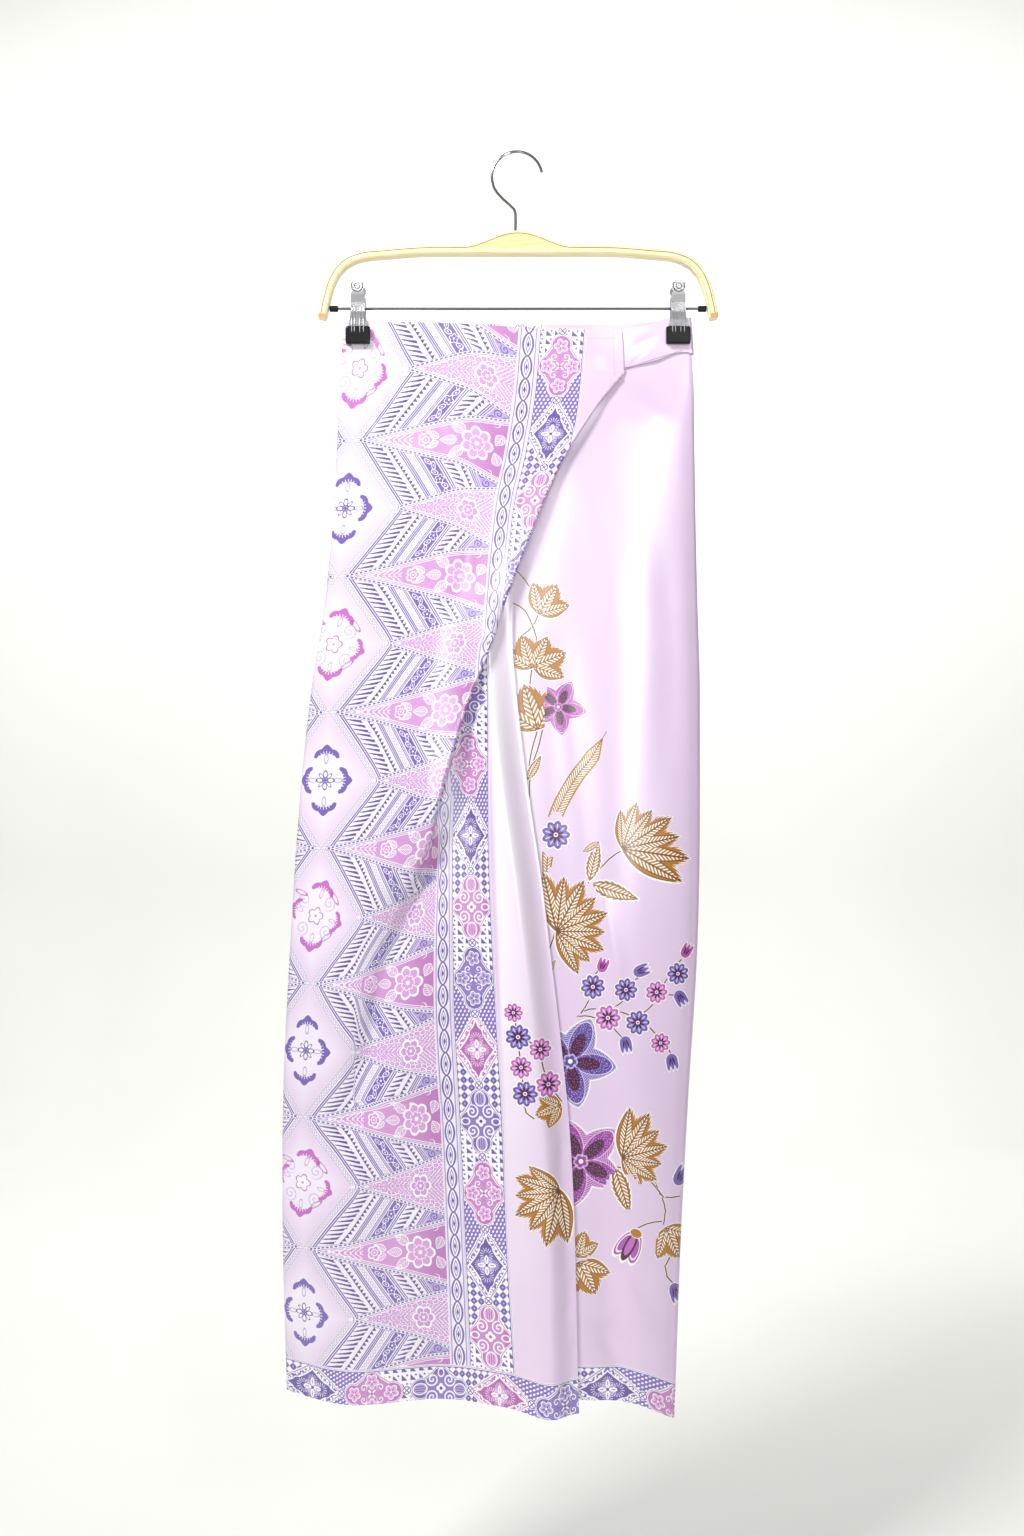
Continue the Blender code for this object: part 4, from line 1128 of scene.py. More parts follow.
class Cloth:
    """A printed cloth's material: colours are laid over each other where a mask is 1."""

    def __init__(self, name, ground):
        self.material, self.tree, self.shader = node_material(name)
        self.colour = ground
        # lilac grounds get a painted highlight beside the print's border
        if ground == LILAC:
            self.painted_highlight_beside_border()

    def painted_highlight_beside_border(self):
        """Painted highlight: the front of the plain cloth is painted paler beside the print's inner border, most
        of all above the knees, in place of the satin sheen there.
        """
        x, y, z = self.parts(add_node(self.tree, "TexCoord").outputs["Object"])
        x = x / MM
        level = (z / MM) * -1.0 + WAIST_Z
        away = x - level * 0.0345 + 34.0
        near = ((away / -48.0) + 1.0).most(0.0).least(1.0).least((away / 4.0 + 1.5).most(0.0))
        high = ((level - 1050.0) / -500.0).most(0.25).least(1.0)
        low = ((level - 230.0) / 70.0).most(0.0).least(1.0)
        # painted highlight: a near-white lilac laid over the front near the border
        self.lay((y < 0.0) * near * high * low, srgb(252, 246, 253), 0.9)

    def parts(self, vector):
        node = add_node(self.tree, "SeparateXYZ", {0: vector})
        return [Num(self.tree, node.outputs[index]) for index in range(3)]

    def attribute(self, name):
        return self.parts(add_node(self.tree, "Attribute", attribute_name=name).outputs["Vector"])

    def mix(self, first, second, part):
        return add_node(self.tree, "Mix", {0: part, 6: first, 7: second}, data_type="RGBA").outputs[2]

    def lay(self, mask, colour, strength=1.0):
        if strength != 1.0:
            mask = mask * strength
        self.colour = self.mix(self.colour, colour, mask)

    def texture(self, kind, x, y, inputs, **settings):
        """A flat texture read at two coordinates."""
        place = add_node(self.tree, "CombineXYZ", {0: x, 1: y}).outputs[0]
        return add_node(self.tree, kind, dict(inputs, Vector=place), **settings)

    def noise(self, x, y, scale):
        node = self.texture("TexNoise", x, y, dict(Scale=scale, Detail=0.0), noise_dimensions="2D")
        return Num(self.tree, node.outputs[0])

    def cells(self, x, y, scale, feature="F1"):
        """How far a place is from the cells' middles, or with DISTANCE_TO_EDGE from their edges."""
        node = self.texture("TexVoronoi", x, y, dict(Scale=scale), voronoi_dimensions="2D", feature=feature)
        return Num(self.tree, node.outputs["Distance"])

    def finish(self, roughness=0.22):
        """Joins the colours to the cloth's surface, with its fine weave."""
        tree = self.tree
        threads = object_noise(tree, Scale=900.0, Detail=1.0)
        uneven = object_noise(tree, Scale=24.0, Detail=3.0)
        shade = Num(tree, uneven) * 0.06 + Num(tree, threads) * 0.05 + 0.945
        colour = self.colour[:3] if isinstance(self.colour, tuple) else self.colour
        tinted = add_node(tree, "VectorMath", {0: colour}, operation="SCALE")
        put(tree, shade, tinted.inputs["Scale"])
        bump = add_node(tree, "Bump", dict(Strength=0.12, Distance=0.0003, Height=threads))
        fill(tree, self.shader, {"Base Color": tinted.outputs[0], "Normal": bump.outputs[0],
                                 "Roughness": roughness, "Sheen Weight": 0.06, "Sheen Roughness": 0.4,
                                 "Specular IOR Level": 1.0})
        return self.material


# The batik print


def blossom(cloth, x, y, middle, size, petals, fill, line, within=None):
    """A flower with a wide pale rim, drawn petals, a ring of small petals and a dot."""
    px, py = x - middle[0], y - middle[1]
    rim = flower_rim(px, py, petals, size, size * 0.24)
    inner = flower_rim(px, py, petals, size * 0.46, size * 0.12)
    turn = angle_of(px, py) * (petals / (2 * math.pi))
    spoke = abs((turn + 0.5).wrap(1.0)) * far(px, py) < 0.16 * size / 6
    for mask, colour in ((rim < 0.9, line), (rim < -size * 0.1, fill), (spoke.least(rim < 0.0), line),
                         (inner < 0.5, line), (inner < -0.3, fill), (far(px, py) < size * 0.14, line)):
        cloth.lay(mask.least(within) if within else mask, colour)


def sprig(cloth, x, y, base, degrees, length, width, fill, line, within=None):
    """A veined leaf drawn in outline from its base."""
    px, py = turned(x - base[0], y - base[1], degrees)
    side = abs(py)
    edge = side - swell_of(px / length, 0.75) * width
    on = (px > 0.0).least(px < length)
    veins = (((px - side) / 2.3).fract() < 0.3).most(side < 0.25).least(edge < -0.5)
    whole = (edge < 0.0).least(on)
    drawn = (abs(edge) < 0.42).most(veins).least(on)
    if within:
        whole, drawn = whole.least(within), drawn.least(within)
    cloth.lay(whole, fill, 0.25)
    cloth.lay(drawn, line)


def curl(cloth, x, y, middle, size, pitch, line, within=None, strength=1.0, half=0.16):
    """A spiral line round a point."""
    px, py = x - middle[0], y - middle[1]
    r = far(px, py)
    on = (abs((angle_of(px, py) / (2 * math.pi) + r / pitch).wrap(1.0)) < half).least(r < size)
    if within:
        on = on.least(within)
    cloth.lay(on, line, strength)


def lotus(cloth, x, y, base, degrees, radius, colour, shade):
    """A lotus fan that opens from its base, with white rays and a pale drop at its foot."""
    px, py = turned(x - base[0], y - base[1], degrees)
    r, a = far(px, py), angle_of(px, py)
    peak = (0.34 - abs(a)).most(0.0) * (radius * 0.42)
    edge = r - peak - abs((a * 3.4).cos()) * (radius * 0.09) - radius * 0.88
    foot = r - radius * 0.5 - abs(a) * abs(a) * (radius * 0.13)
    whole = (edge < 0.0).least(foot > 0.0).least(abs(a) < 1.32)
    rays = ((abs((a / 0.33).wrap(1.0)) * r * 0.33) < 0.34).least(r < radius * 0.68)
    cloth.lay(whole, colour)
    cloth.lay(whole.least(rays), WHITE)
    drop = oval(px, py, (radius * 0.16, 0.0), (radius * 0.3, radius * 0.13))
    cloth.lay(abs(drop - 1.0) < 0.35, shade, 0.6)


def chevron_cloth():
    cloth = Cloth("batik chevrons", GROUND)
    u, v, _ = cloth.attribute("print")
    across = abs(u)
    signed = (v - TIP_LEVEL).wrap(PERIOD)
    w = abs(signed)
    length = math.hypot(HALF, PERIOD / 2)
    nu, nw = PERIOD / 2 / length, HALF / length
    c = across * nu - w * nw
    a = across * nw + w * nu

    # diamonds: violet crosses and pink roundels take turns
    inside = c < -1.0
    cloth.lay(((c + 19.0) / 19.0).most(0.0).least(inside), LILAC, 0.85)
    cross_v = (v - (TIP_LEVEL + PERIOD / 2)).wrap(2 * PERIOD)
    round_v = (v - (TIP_LEVEL - PERIOD / 2)).wrap(2 * PERIOD)
    for reach, size, spin in ((5.6, (3.4, 2.0), 0.0), (5.6, (3.0, 1.4), math.pi / 4)):
        ring = petal_ring(u, cross_v, 4, reach, size, spin)
        cloth.lay(ring < 1.0, WHITE)
        cloth.lay(abs(ring - 1.0) < 0.42, LINE, 0.9)
    cloth.lay(far(u, cross_v) < 1.7, VIOLET)
    for base, degrees in (((0, -18), -90), ((0, 18), 90), ((10.5, 0), 0), ((-10.5, 0), 180)):
        lotus(cloth, u, cross_v, base, degrees, 14.5, VIOLET, LINE)
    for middle, way in (((13, 15), 1), ((-13, -15), 1), ((14, -12), -1), ((-14, 12), -1)):
        curl(cloth, u * way, round_v, (middle[0] * way, middle[1]), 7.5, 4.2, PALE_VIOLET, None, 0.7, 0.13)
    rim = flower_rim(u, round_v, 5, 8.2, 3.0)
    cloth.lay(rim < 0.0, WHITE)
    cloth.lay(abs(rim) < 0.6, MAGENTA, 0.9)
    cloth.lay(far(u, round_v) < 1.4, PINK)
    for base, degrees, size in (((4, -19), -70, 14.5), ((17, 4), 18, 12.0), ((-2, 19), 98, 14.5),
                                ((-16, -5), 200, 12.0)):
        lotus(cloth, u, round_v, base, degrees, size, srgb(200, 112, 194), MAGENTA)
    for middle, degrees in (((20, -17), 55), ((14, 20), -35), ((-17, -22), 20)):
        leaf = oval(u, round_v, middle, (6.5, 2.0), degrees)
        cloth.lay(abs(leaf - 1.0) < 0.36, MAGENTA, 0.8)

    # cones: a tall one from every diamond tip and a shorter, paler one from every outer corner
    tall = (w - (across - 22.0) * 0.222) * 0.976
    short = (PERIOD / 2 - w - (across - 61.0) * 0.285) * 0.962
    clear = (tall > 5.0).least(short > 5.0).least(c > -0.4)

    # bands beside the diamonds, by their distance from the zigzag
    wave = (a * (2 * math.pi / 7.4)).sin()
    twists = [abs(abs(c - middle) - abs(wave) * swing) < 0.28
              for middle, swing in ((2.3, 1.2), (38.6, 1.7), (86.5, 1.4))]
    rope = any_of([c.near(0.0, 0.3), c.near(4.6, 0.3), *twists])
    rules = any_of([c.near(place, half) for place, half in RULES])
    rough = cloth.noise(u, v, 0.35)
    run = (w - across * 0.16) / 4.05
    stroke = abs(run.wrap(1.0)) * 4.05
    strokes = []
    for start, reach in ((9.6, 20.8), (60.0, 68.4)):
        taper = ((c - start) / (reach - start)).least(1.0) * 0.98 + rough * 0.4 + 0.14
        strokes.append((stroke < taper).least(c > start + 0.4).least(c < rough * 2.6 + (reach - 1.4)))
    tri = abs((a / 4.3).wrap(1.0)) * 4.3
    teeth = [(tri < (tip - c) * 0.56).least(c > foot) for tip, foot in ((28.6, 24.7), (76.6, 72.6))]
    tinted = any_of([c.near(33.3, 2.4), c.near(80.9, 2.6), c.near(7.9, 1.6), c.near(43.2, 1.4)])
    cloth.lay(clear.least(tinted), PALE_VIOLET, 0.3)
    cloth.lay(rope.least(clear), LINE, 0.62)
    cloth.lay(rules.least(clear), LINE, 0.95)
    cloth.lay(any_of(strokes + teeth).least(clear), srgb(86, 68, 142), 0.95)
    field = c.near(50.4, 5.4).least(clear)
    cloth.lay(field, VIOLET)
    fa, fc = a - 83.0, c - 50.4
    cloth.lay(field.least(abs(flower_rim(fa, fc, 5, 4.4, 1.7)) < 0.4), WHITE)
    cloth.lay(field.least(far(fa, fc) < 1.0), WHITE)
    mirrored = abs(fa)
    leaning = fc * fa.math("SIGN")
    for middle, size, degrees in (((8.6, 1.0), (3.6, 1.9), 25), ((15.0, -1.2), (3.9, 1.8), -22),
                                  ((21.6, 1.2), (3.8, 1.7), 20)):
        leaf = oval(mirrored, leaning, middle, size, degrees)
        cloth.lay(field.least(abs(leaf - 1.0) < 0.3), WHITE)
        cloth.lay(field.least(leaf < 0.12), WHITE, 0.8)
    cloth.lay(field.least(abs(fc) > 4.7), WHITE, 0.8)
    corner = (c > 84.0).least(clear)
    cloth.lay(corner, PALE_VIOLET)
    curl(cloth, a.wrap(9.0), c.wrap(9.0), (0, 0), 4.4, 3.0, LINE, corner)

    for cone in (tall, short):
        zone = (cone < 5.0).least(c > 3.4)
        cloth.lay(zone, GROUND)
        dots = abs((across / 4.2).wrap(1.0)) < 0.3
        cloth.lay(cone.near(3.2, 0.72).least(dots).least(zone), LINE, 0.95)
        cloth.lay(cone.near(1.3, 0.32).most(cone.near(4.8, 0.3)).least(zone), LINE, 0.7)
    body = tall < 0.3
    cloth.lay(body, PINK)
    cloth.lay(body.least(((across - 96.0) / 44.0).most(0.0).least(1.0)), srgb(182, 108, 180), 0.7)
    start = (across < 60.0).least(body)
    cloth.lay(start.least(abs(((across - w * 1.3) / 5.2).wrap(1.0)) < 0.12), WHITE)
    cloth.lay(start.least(far((across / 5.2).wrap(1.0) * 5.2, signed.bounce(2.4) - 1.0) < 0.6), WHITE)
    for base, degrees, length, width in CONE_SPRIGS:
        sprig(cloth, across, signed, base, degrees, length, width, PALE_PINK, WHITE, body)
    blossom(cloth, across, signed, (72, 0), 6.8, 5, srgb(214, 150, 212), WHITE, body)
    blossom(cloth, across, signed, (120, 0), 15.5, 7, srgb(216, 162, 216), WHITE, body)
    for middle, way in (((97, 16), 1), ((96, -15), -1), ((136, 25), 1), ((136, -25), -1)):
        curl(cloth, across, signed * way, (middle[0], middle[1] * way), 4.2, 3.4, WHITE, body, 1.0, 0.13)
    cloth.lay(tall.near(-1.1, 0.35).least(body), WHITE)
    body = short < 0.3
    cloth.lay(body, srgb(220, 178, 224))
    away = PERIOD / 2 - w
    fern = (((across - away * 1.1) / 4.4).fract() < 0.28).least(away < (across - 66.0) * 0.2)
    cloth.lay(fern.least(body).least(away > 0.5), WHITE)
    scales = cloth.cells(across * 0.8, away, 0.24, "DISTANCE_TO_EDGE")
    cloth.lay(body.least(scales < 0.07).least(away > (across - 66.0) * 0.2), WHITE)
    cloth.lay(body.least(scales.near(0.22, 0.05)), srgb(180, 128, 190), 0.85)
    blossom(cloth, across, away, (122, 0), 11.0, 6, srgb(206, 156, 214), WHITE, body)
    cloth.lay(across > CHEVRON_END - 1.2, GROUND)
    return cloth.finish()


def chain_cloth():
    cloth = Cloth("batik chain", GROUND)
    u, v, _ = cloth.attribute("print")
    side = abs(abs(u) - CHAIN_MIDDLE)
    lens = abs((v * (math.pi / LINK)).cos()).power(0.62)
    along = abs(v.wrap(LINK))
    cloth.lay(side > 6.6, PALE_VIOLET, 0.45)
    cloth.lay(side.near(7.0, 0.34), LINE, 0.85)
    edge = side - lens * 4.4
    cloth.lay(edge < 1.25, srgb(118, 98, 172))
    cloth.lay((edge < -0.7).least(lens > 0.3), WHITE)
    inner = side - lens.power(1.6) * 3.6 + 1.2
    cloth.lay(inner < 0.0, VIOLET)
    cloth.lay(inner < -0.75, GROUND)
    cloth.lay((along * 0.36 + side) < 1.25, LINE)
    return cloth.finish()


def medallion_cloth():
    cloth = Cloth("batik medallions", WHITE)
    u, v, _ = cloth.attribute("print")
    m = abs(u) - MEDAL_MIDDLE
    side = abs(m)
    order = ((v - (MEDAL_START - MEDAL_SPACING / 2)) / MEDAL_SPACING).floor()
    t = (v - MEDAL_START).wrap(MEDAL_SPACING)
    tall = abs(t)
    kind = order.modulo(3.0)
    pinkish = order.modulo(2.0) < 0.5
    is_star, is_ogee, is_scroll = kind < 0.5, kind.near(1.0, 0.5), kind > 1.5

    # grounds between the medallions
    ground = ((v - MEDAL_START) / MEDAL_SPACING).floor().modulo(3.0)
    seeds, rings, teeth = ground < 0.5, ground.near(1.0, 0.5), ground > 1.5
    row = (v / 3.6).floor()
    seed_x = (m / 4.0 + (row * 0.5).fract()).wrap(1.0) * 4.0
    tilt_x, tilt_y = turned(seed_x, ((v / 3.6).fract() - 0.5) * 3.6, 30)
    cloth.lay(seeds, srgb(136, 112, 190))
    cloth.lay(seeds.least((tilt_x * tilt_x / 0.75 + tilt_y * tilt_y / 1.9) < 1.0), WHITE)
    cell_x, cell_y = m.wrap(7.4), v.wrap(7.4)
    ring = far(cell_x, cell_y)
    links = abs((m + 3.7).wrap(7.4)).least(abs((v + 3.7).wrap(7.4))) < 0.9
    cloth.lay(rings.least(links.least(ring > 3.2)), WHITE)
    cloth.lay(rings.least(abs(cell_x).least(abs(cell_y)) < 0.8), PALE_VIOLET)
    cloth.lay(rings.least(ring < 2.9), srgb(112, 92, 170))
    cloth.lay(rings.least(ring < 1.0), PALE_VIOLET)
    box_x, box_y = (m / 8.2).fract(), (v / 8.2).fract()
    cloth.lay(teeth.least(box_y > box_x * 0.9 + 0.12).least(box_x > 0.14).least(box_y < 0.9), srgb(112, 94, 168))
    cloth.lay(teeth.least(far(box_x - 0.74, box_y - 0.28) < 0.12), LINE, 0.9)

    # medallions: a four-lobed outline for the star and scroll kinds, a pointed one for the ogee kind
    lobes = (far(m, tall - 20.0) - 9.2).least(far(side - 10.6, t) - 9.4)
    plain = lobes.least(((side / 21.0).power(0.95) + (tall / 31.0).power(0.95) - 1.0) * 13.0)
    points = (far(m, tall - 17.0) - 9.6).least(far(side - 11.6, t) - 8.6)
    framed = points.least((side / 22.0 + tall / 32.5 - 1.0) * 13.0)
    chosen = add_node(cloth.tree, "Mix", {0: is_ogee, 2: plain, 3: framed}, data_type="FLOAT")
    shape = Num(cloth.tree, chosen.outputs[0])
    fill = cloth.mix(srgb(146, 124, 196), srgb(204, 138, 200), pinkish)
    ink = cloth.mix(LINE, srgb(178, 90, 172), pinkish)
    pale = cloth.mix(PALE_VIOLET, PALE_PINK, pinkish)
    cloth.lay(shape < 1.6, WHITE)
    cloth.lay(shape < 0.8, ink, 0.75)
    cloth.lay(shape < 0.1, WHITE)
    body = shape < -0.5
    cloth.lay(body, fill)
    cloth.lay(body.least((tall > 17.0).most(side > 13.5)), ink, 0.45)
    r = far(m, t)

    # the ogee kind: a frame of grains round a core with a cross of petals and four lotus tips
    core = (far(m, tall - 14.5) - 6.4).least(far(side - 9.2, t) - 5.8)
    core = core.least(((side / 17.0).power(0.86) + (tall / 27.0).power(0.86) - 1.0) * 9.0)
    frame_zone = is_ogee.least(body).least(core > 0.6)
    cloth.lay(frame_zone.least(cloth.cells(m, v, 0.42) < 0.42), WHITE)
    cloth.lay(is_ogee.least(core.near(0.3, 0.42)), WHITE)
    inner = is_ogee.least(core < -0.3)
    cloth.lay(inner.least((tall > 8.0).most(side > 6.5)), ink, 0.7)
    cloth.lay(inner.least(petal_ring(m, t, 4, 5.2, (4.2, 2.1)) < 1.0), WHITE)
    cloth.lay(inner.least(petal_ring(m, t, 4, 5.6, (2.2, 0.7)) < 1.0), pale)
    cloth.lay(inner.least(petal_ring(m, t, 4, 4.8, (2.8, 1.1), math.pi / 4) < 1.0), pale)
    for base, degrees, size in (((0, -9.5), -90, 9.5), ((0, 9.5), 90, 9.5), ((7.0, 0), 0, 7.5),
                                ((-7.0, 0), 180, 7.5)):
        px, py = turned(m - base[0], t - base[1], degrees)
        reach = far(px, py)
        rays = (abs((angle_of(px, py) / 0.42).wrap(1.0)) < 0.12).least(reach < size * 0.7)
        cloth.lay(inner.least(rays.least(reach > size * 0.3)), WHITE)
    cloth.lay(inner.least(r < 1.4), ink)

    # the star kind: four blossoms with curls between them
    star = is_star.least(body)
    for px, py in ((m, tall - 19.0), (side - 11.5, t)):
        rim = flower_rim(px, py, 5, 6.8, 2.4, 0.6)
        cloth.lay(star.least(abs(rim) < 0.5), WHITE)
        cloth.lay(star.least(rim < -0.5), pale)
        cloth.lay(star.least(petal_ring(px, py, 5, 2.6, (1.9, 0.5), 0.6) < 1.0), ink)
        cloth.lay(star.least(far(px, py) < 1.1), WHITE)
    curl(cloth, side, tall, (5.4, 8.6), 3.8, 3.0, WHITE, star, 1.0, 0.17)
    cloth.lay(star.least(petal_ring(m, t, 4, 3.0, (2.4, 0.9), math.pi / 4) < 1.0), WHITE)
    cloth.lay(star.least(r < 1.2), ink)

    # the scroll kind: four large scrolls, buds at the ends and a small flower in the middle
    scroll = is_scroll.least(body)
    curl(cloth, side, tall, (8.4, 9.0), 6.8, 3.8, WHITE, scroll, 1.0, 0.19)
    bud = oval(m, tall, (0.0, 21.0), (5.0, 6.4))
    cloth.lay(scroll.least(abs(bud - 1.0) < 0.3), WHITE)
    cloth.lay(scroll.least(bud < 0.9), pale)
    cloth.lay(scroll.least(bud < 0.6).least(abs((m / 2.2).wrap(1.0)) < 0.2), ink)
    cloth.lay(scroll.least(abs(oval(side, t, (15.0, 0.0), (4.0, 3.0)) - 1.0) < 0.36), WHITE)
    cloth.lay(scroll.least(flower_rim(m, t, 4, 5.0, 1.8) < 0.0), WHITE)
    cloth.lay(scroll.least(r < 1.6), ink)

    # small knots between the medallions, and the strip's borders
    knot = (v - (MEDAL_START + MEDAL_SPACING / 2)).wrap(MEDAL_SPACING)
    reach = far(m, knot)
    cloth.lay(reach < 4.4, WHITE)
    cloth.lay((abs(side - abs(knot)) < 0.6).most(reach.near(3.5, 0.42)).least(reach < 4.0), LINE)
    cloth.lay(side > 20.4, GROUND)
    cloth.lay(side.near(20.6, 0.36), LINE, 0.9)
    cloth.lay(side.near(22.0, 0.3), LINE, 0.5)
    return cloth.finish()


# The floral spray's cloths


def floral_cloth(name):
    """Plain cloth with the brown stems drawn on it, from the distance to the nearest stem."""
    cloth = Cloth(name, LILAC)
    d, beyond, _ = cloth.attribute("stem")
    on = beyond < 0.0
    cloth.lay((abs(d) < 1.15).least(on), CREAM, 0.7)
    cloth.lay((abs(d) < 0.62).least(on), BROWN)
    return cloth


def daisy_cloth(name, rim_colour, fill_colour):
    cloth = floral_cloth(name)
    x, y, _ = cloth.attribute("motif")
    petals = DAISY_PETALS
    r = far(x, y)
    edge = flower_rim(x, y, petals, 1.0, 0.24)
    cloth.lay(edge < 0.1, CREAM)
    cloth.lay(edge < 0.0, rim_colour)
    cloth.lay(flower_rim(x, y, petals, 0.8, 0.2) < 0.0, fill_colour)
    cloth.lay(petal_ring(x, y, petals, 0.62, (0.18, 0.038)) < 1.0, WHITE, 0.75)
    cloth.lay(flower_rim(x, y, petals, 0.44, 0.14, math.pi / petals) < 0.0, rim_colour)
    cloth.lay(petal_ring(x, y, petals, 0.3, (0.3, 0.075), math.pi / petals) < 1.0, MAROON)
    cloth.lay(r < 0.16, WHITE)
    cloth.lay(r < 0.09, MAGENTA)
    return cloth.finish()


def bud_cloth(name, colour):
    cloth = floral_cloth(name)
    x, y, _ = cloth.attribute("motif")
    side = abs(y)
    cup = oval(x, y, (-0.25, 0.0), (0.66, 0.6)) - 1.0
    crown = (x - abs((y * 7.0).cos()) * 0.6 - 0.22).most(side * 2.0 - 1.24).most(x * -1.0 - 0.3)
    whole = cup.least(crown)
    cloth.lay(whole < 0.2, CREAM)
    cloth.lay(whole < 0.0, colour)
    cloth.lay(oval(x, side, (-0.15, 0.2), (0.42, 0.08), 14) < 1.0, MAROON)
    cloth.lay(oval(x, y, (-0.05, 0.0), (0.34, 0.06)) < 1.0, MAROON)
    return cloth.finish()


def tulip_cloth():
    """A large bud of long petals in a gold calyx."""
    cloth = floral_cloth("pink tulips")
    x, y, _ = cloth.attribute("motif")
    petal = oval(x, abs(y), (0.45, 0.2), (0.5, 0.2), 14)
    middle = oval(x, y, (0.45, 0.0), (0.55, 0.18))
    cloth.lay(petal.least(middle) < 1.4, CREAM)
    cloth.lay(petal < 1.0, srgb(172, 84, 178))
    cloth.lay(abs(petal - 0.55) < 0.12, WHITE, 0.8)
    cloth.lay(middle < 1.0, MAROON)
    cloth.lay(middle < 0.42, srgb(196, 104, 192))
    calyx = oval(x, y, (-0.01, 0.0), (0.14, 0.2))
    cloth.lay(calyx < 1.3, CREAM)
    cloth.lay(calyx < 1.0, GOLD)
    return cloth.finish()


def leaf_cloth(name, leaflets, spread, width, lean, veins):
    """A gold leaf with white herringbone veins, or a fan of such leaflets grown together."""
    cloth = floral_cloth(name)
    x, y, _ = cloth.attribute("motif")
    if leaflets == 1:
        side = abs(y)
        edge = side - swell_of(x, 0.8) * width * ((x * 8.0).fract() * -0.2 + 1.08)
        edge = edge.most(x * -1.0).most(x - 0.99)
        vein = swell_of(x, 0.8) * width * 0.74
    else:
        r, a = far(x, y), angle_of(x, y)
        step = math.radians(spread) / (leaflets - 1)
        limit = (leaflets - 1) / 2
        number = ((a / step + (limit + 0.5) % 1.0).floor() + (limit % 1.0)).most(-limit).least(limit)
        local = a - number * step
        size = 1.0 - abs(number).modulo(2.0) * 0.08 + number * lean
        reach = r / size
        off = (abs(local) * (2.0 / step)).least(1.0)
        teeth = (off * 3.0 + 0.25).fract() * 0.075
        x, side = reach * local.cos(), abs(reach * local.sin())
        vein = swell_of(x, 0.85) * width
        outer = (abs(a) - step * limit).least(side - vein * 1.5 - 0.01)
        edge = (reach + off * 0.2 + teeth - 1.0).most(outer)
    cloth.lay(edge < 0.03, CREAM)
    cloth.lay(edge < 0.0, BROWN)
    cloth.lay(edge < -0.014, GOLD)
    cloth.lay((abs(side - vein) < 0.01).least(edge < -0.02), BROWN, 0.7)
    lines = (x * veins - side * (veins * 1.1)).fract() < 0.45
    cloth.lay(lines.least(side > 0.012).least(side < vein - 0.01).least(edge < -0.03).least(x > 0.06), CREAM)
    cloth.lay((side < 0.01).least(edge < -0.03), BROWN)
    return cloth.finish()


def feather_cloth():
    """A long curved leaf: along and across come in millimetres, and the third value is the way left to its end."""
    cloth = Cloth("long gold leaf", LILAC)
    x, y, left = cloth.attribute("motif")
    side = abs(y)
    half = (left * 0.08 + 0.9).least(x * 0.36 + 0.9).least(6.8)
    cloth.lay((side < half + 0.7).least(left > -1.0), CREAM)
    cloth.lay(side < half, GOLD)
    lines = ((x / 2.9) + side * 0.34).fract() < 0.42
    cloth.lay(lines.least(side < half - 1.2).least(side > 0.4), CREAM)
    cloth.lay(side < 0.4, BROWN, 0.8)
    cloth.lay(abs(side - half) < 0.4, BROWN, 0.7)
    return cloth.finish()


def orchid_cloth(name, colour, pale):
    cloth = floral_cloth(name)
    x, y, _ = cloth.attribute("motif")
    r, a = far(x, y), angle_of(x, y)
    step = 2 * math.pi / 5
    local = (a / step).wrap(1.0) * step
    px, py = r * local.cos(), abs(r * local.sin())
    edge = py - swell_of(px, 0.78).most(0.0).power(0.7) * 0.34
    inside = px < 1.0
    cloth.lay((edge < 0.03).least(px < 1.02), CREAM)
    cloth.lay((edge < 0.0).least(inside), pale)
    fringe = ((px * 19.0) + py * 14.0).fract() < 0.4
    cloth.lay((edge < -0.02).least(fringe).least(inside), colour)
    heart = oval(px, py, (0.5, 0.0), (0.4, 0.21))
    cloth.lay(heart < 1.14, WHITE, 0.6)
    cloth.lay(heart < 1.0, colour)
    specks = cloth.cells(x, y, 22.0) < 0.2
    cloth.lay(specks.least(heart < 0.9), PALE_PINK, 0.8)
    dark = oval(px, py, (0.38, 0.0), (0.26, 0.13))
    cloth.lay(dark < 1.0, MAROON)
    cloth.lay(specks.least(dark < 0.8), MAGENTA, 0.9)
    cloth.lay(flower_rim(x, y, 5, 0.17, 0.05) < 0.0, pale)
    cloth.lay(flower_rim(x, y, 5, 0.13, 0.04) < 0.0, colour)
    cloth.lay(r < 0.05, CREAM)
    return cloth.finish()


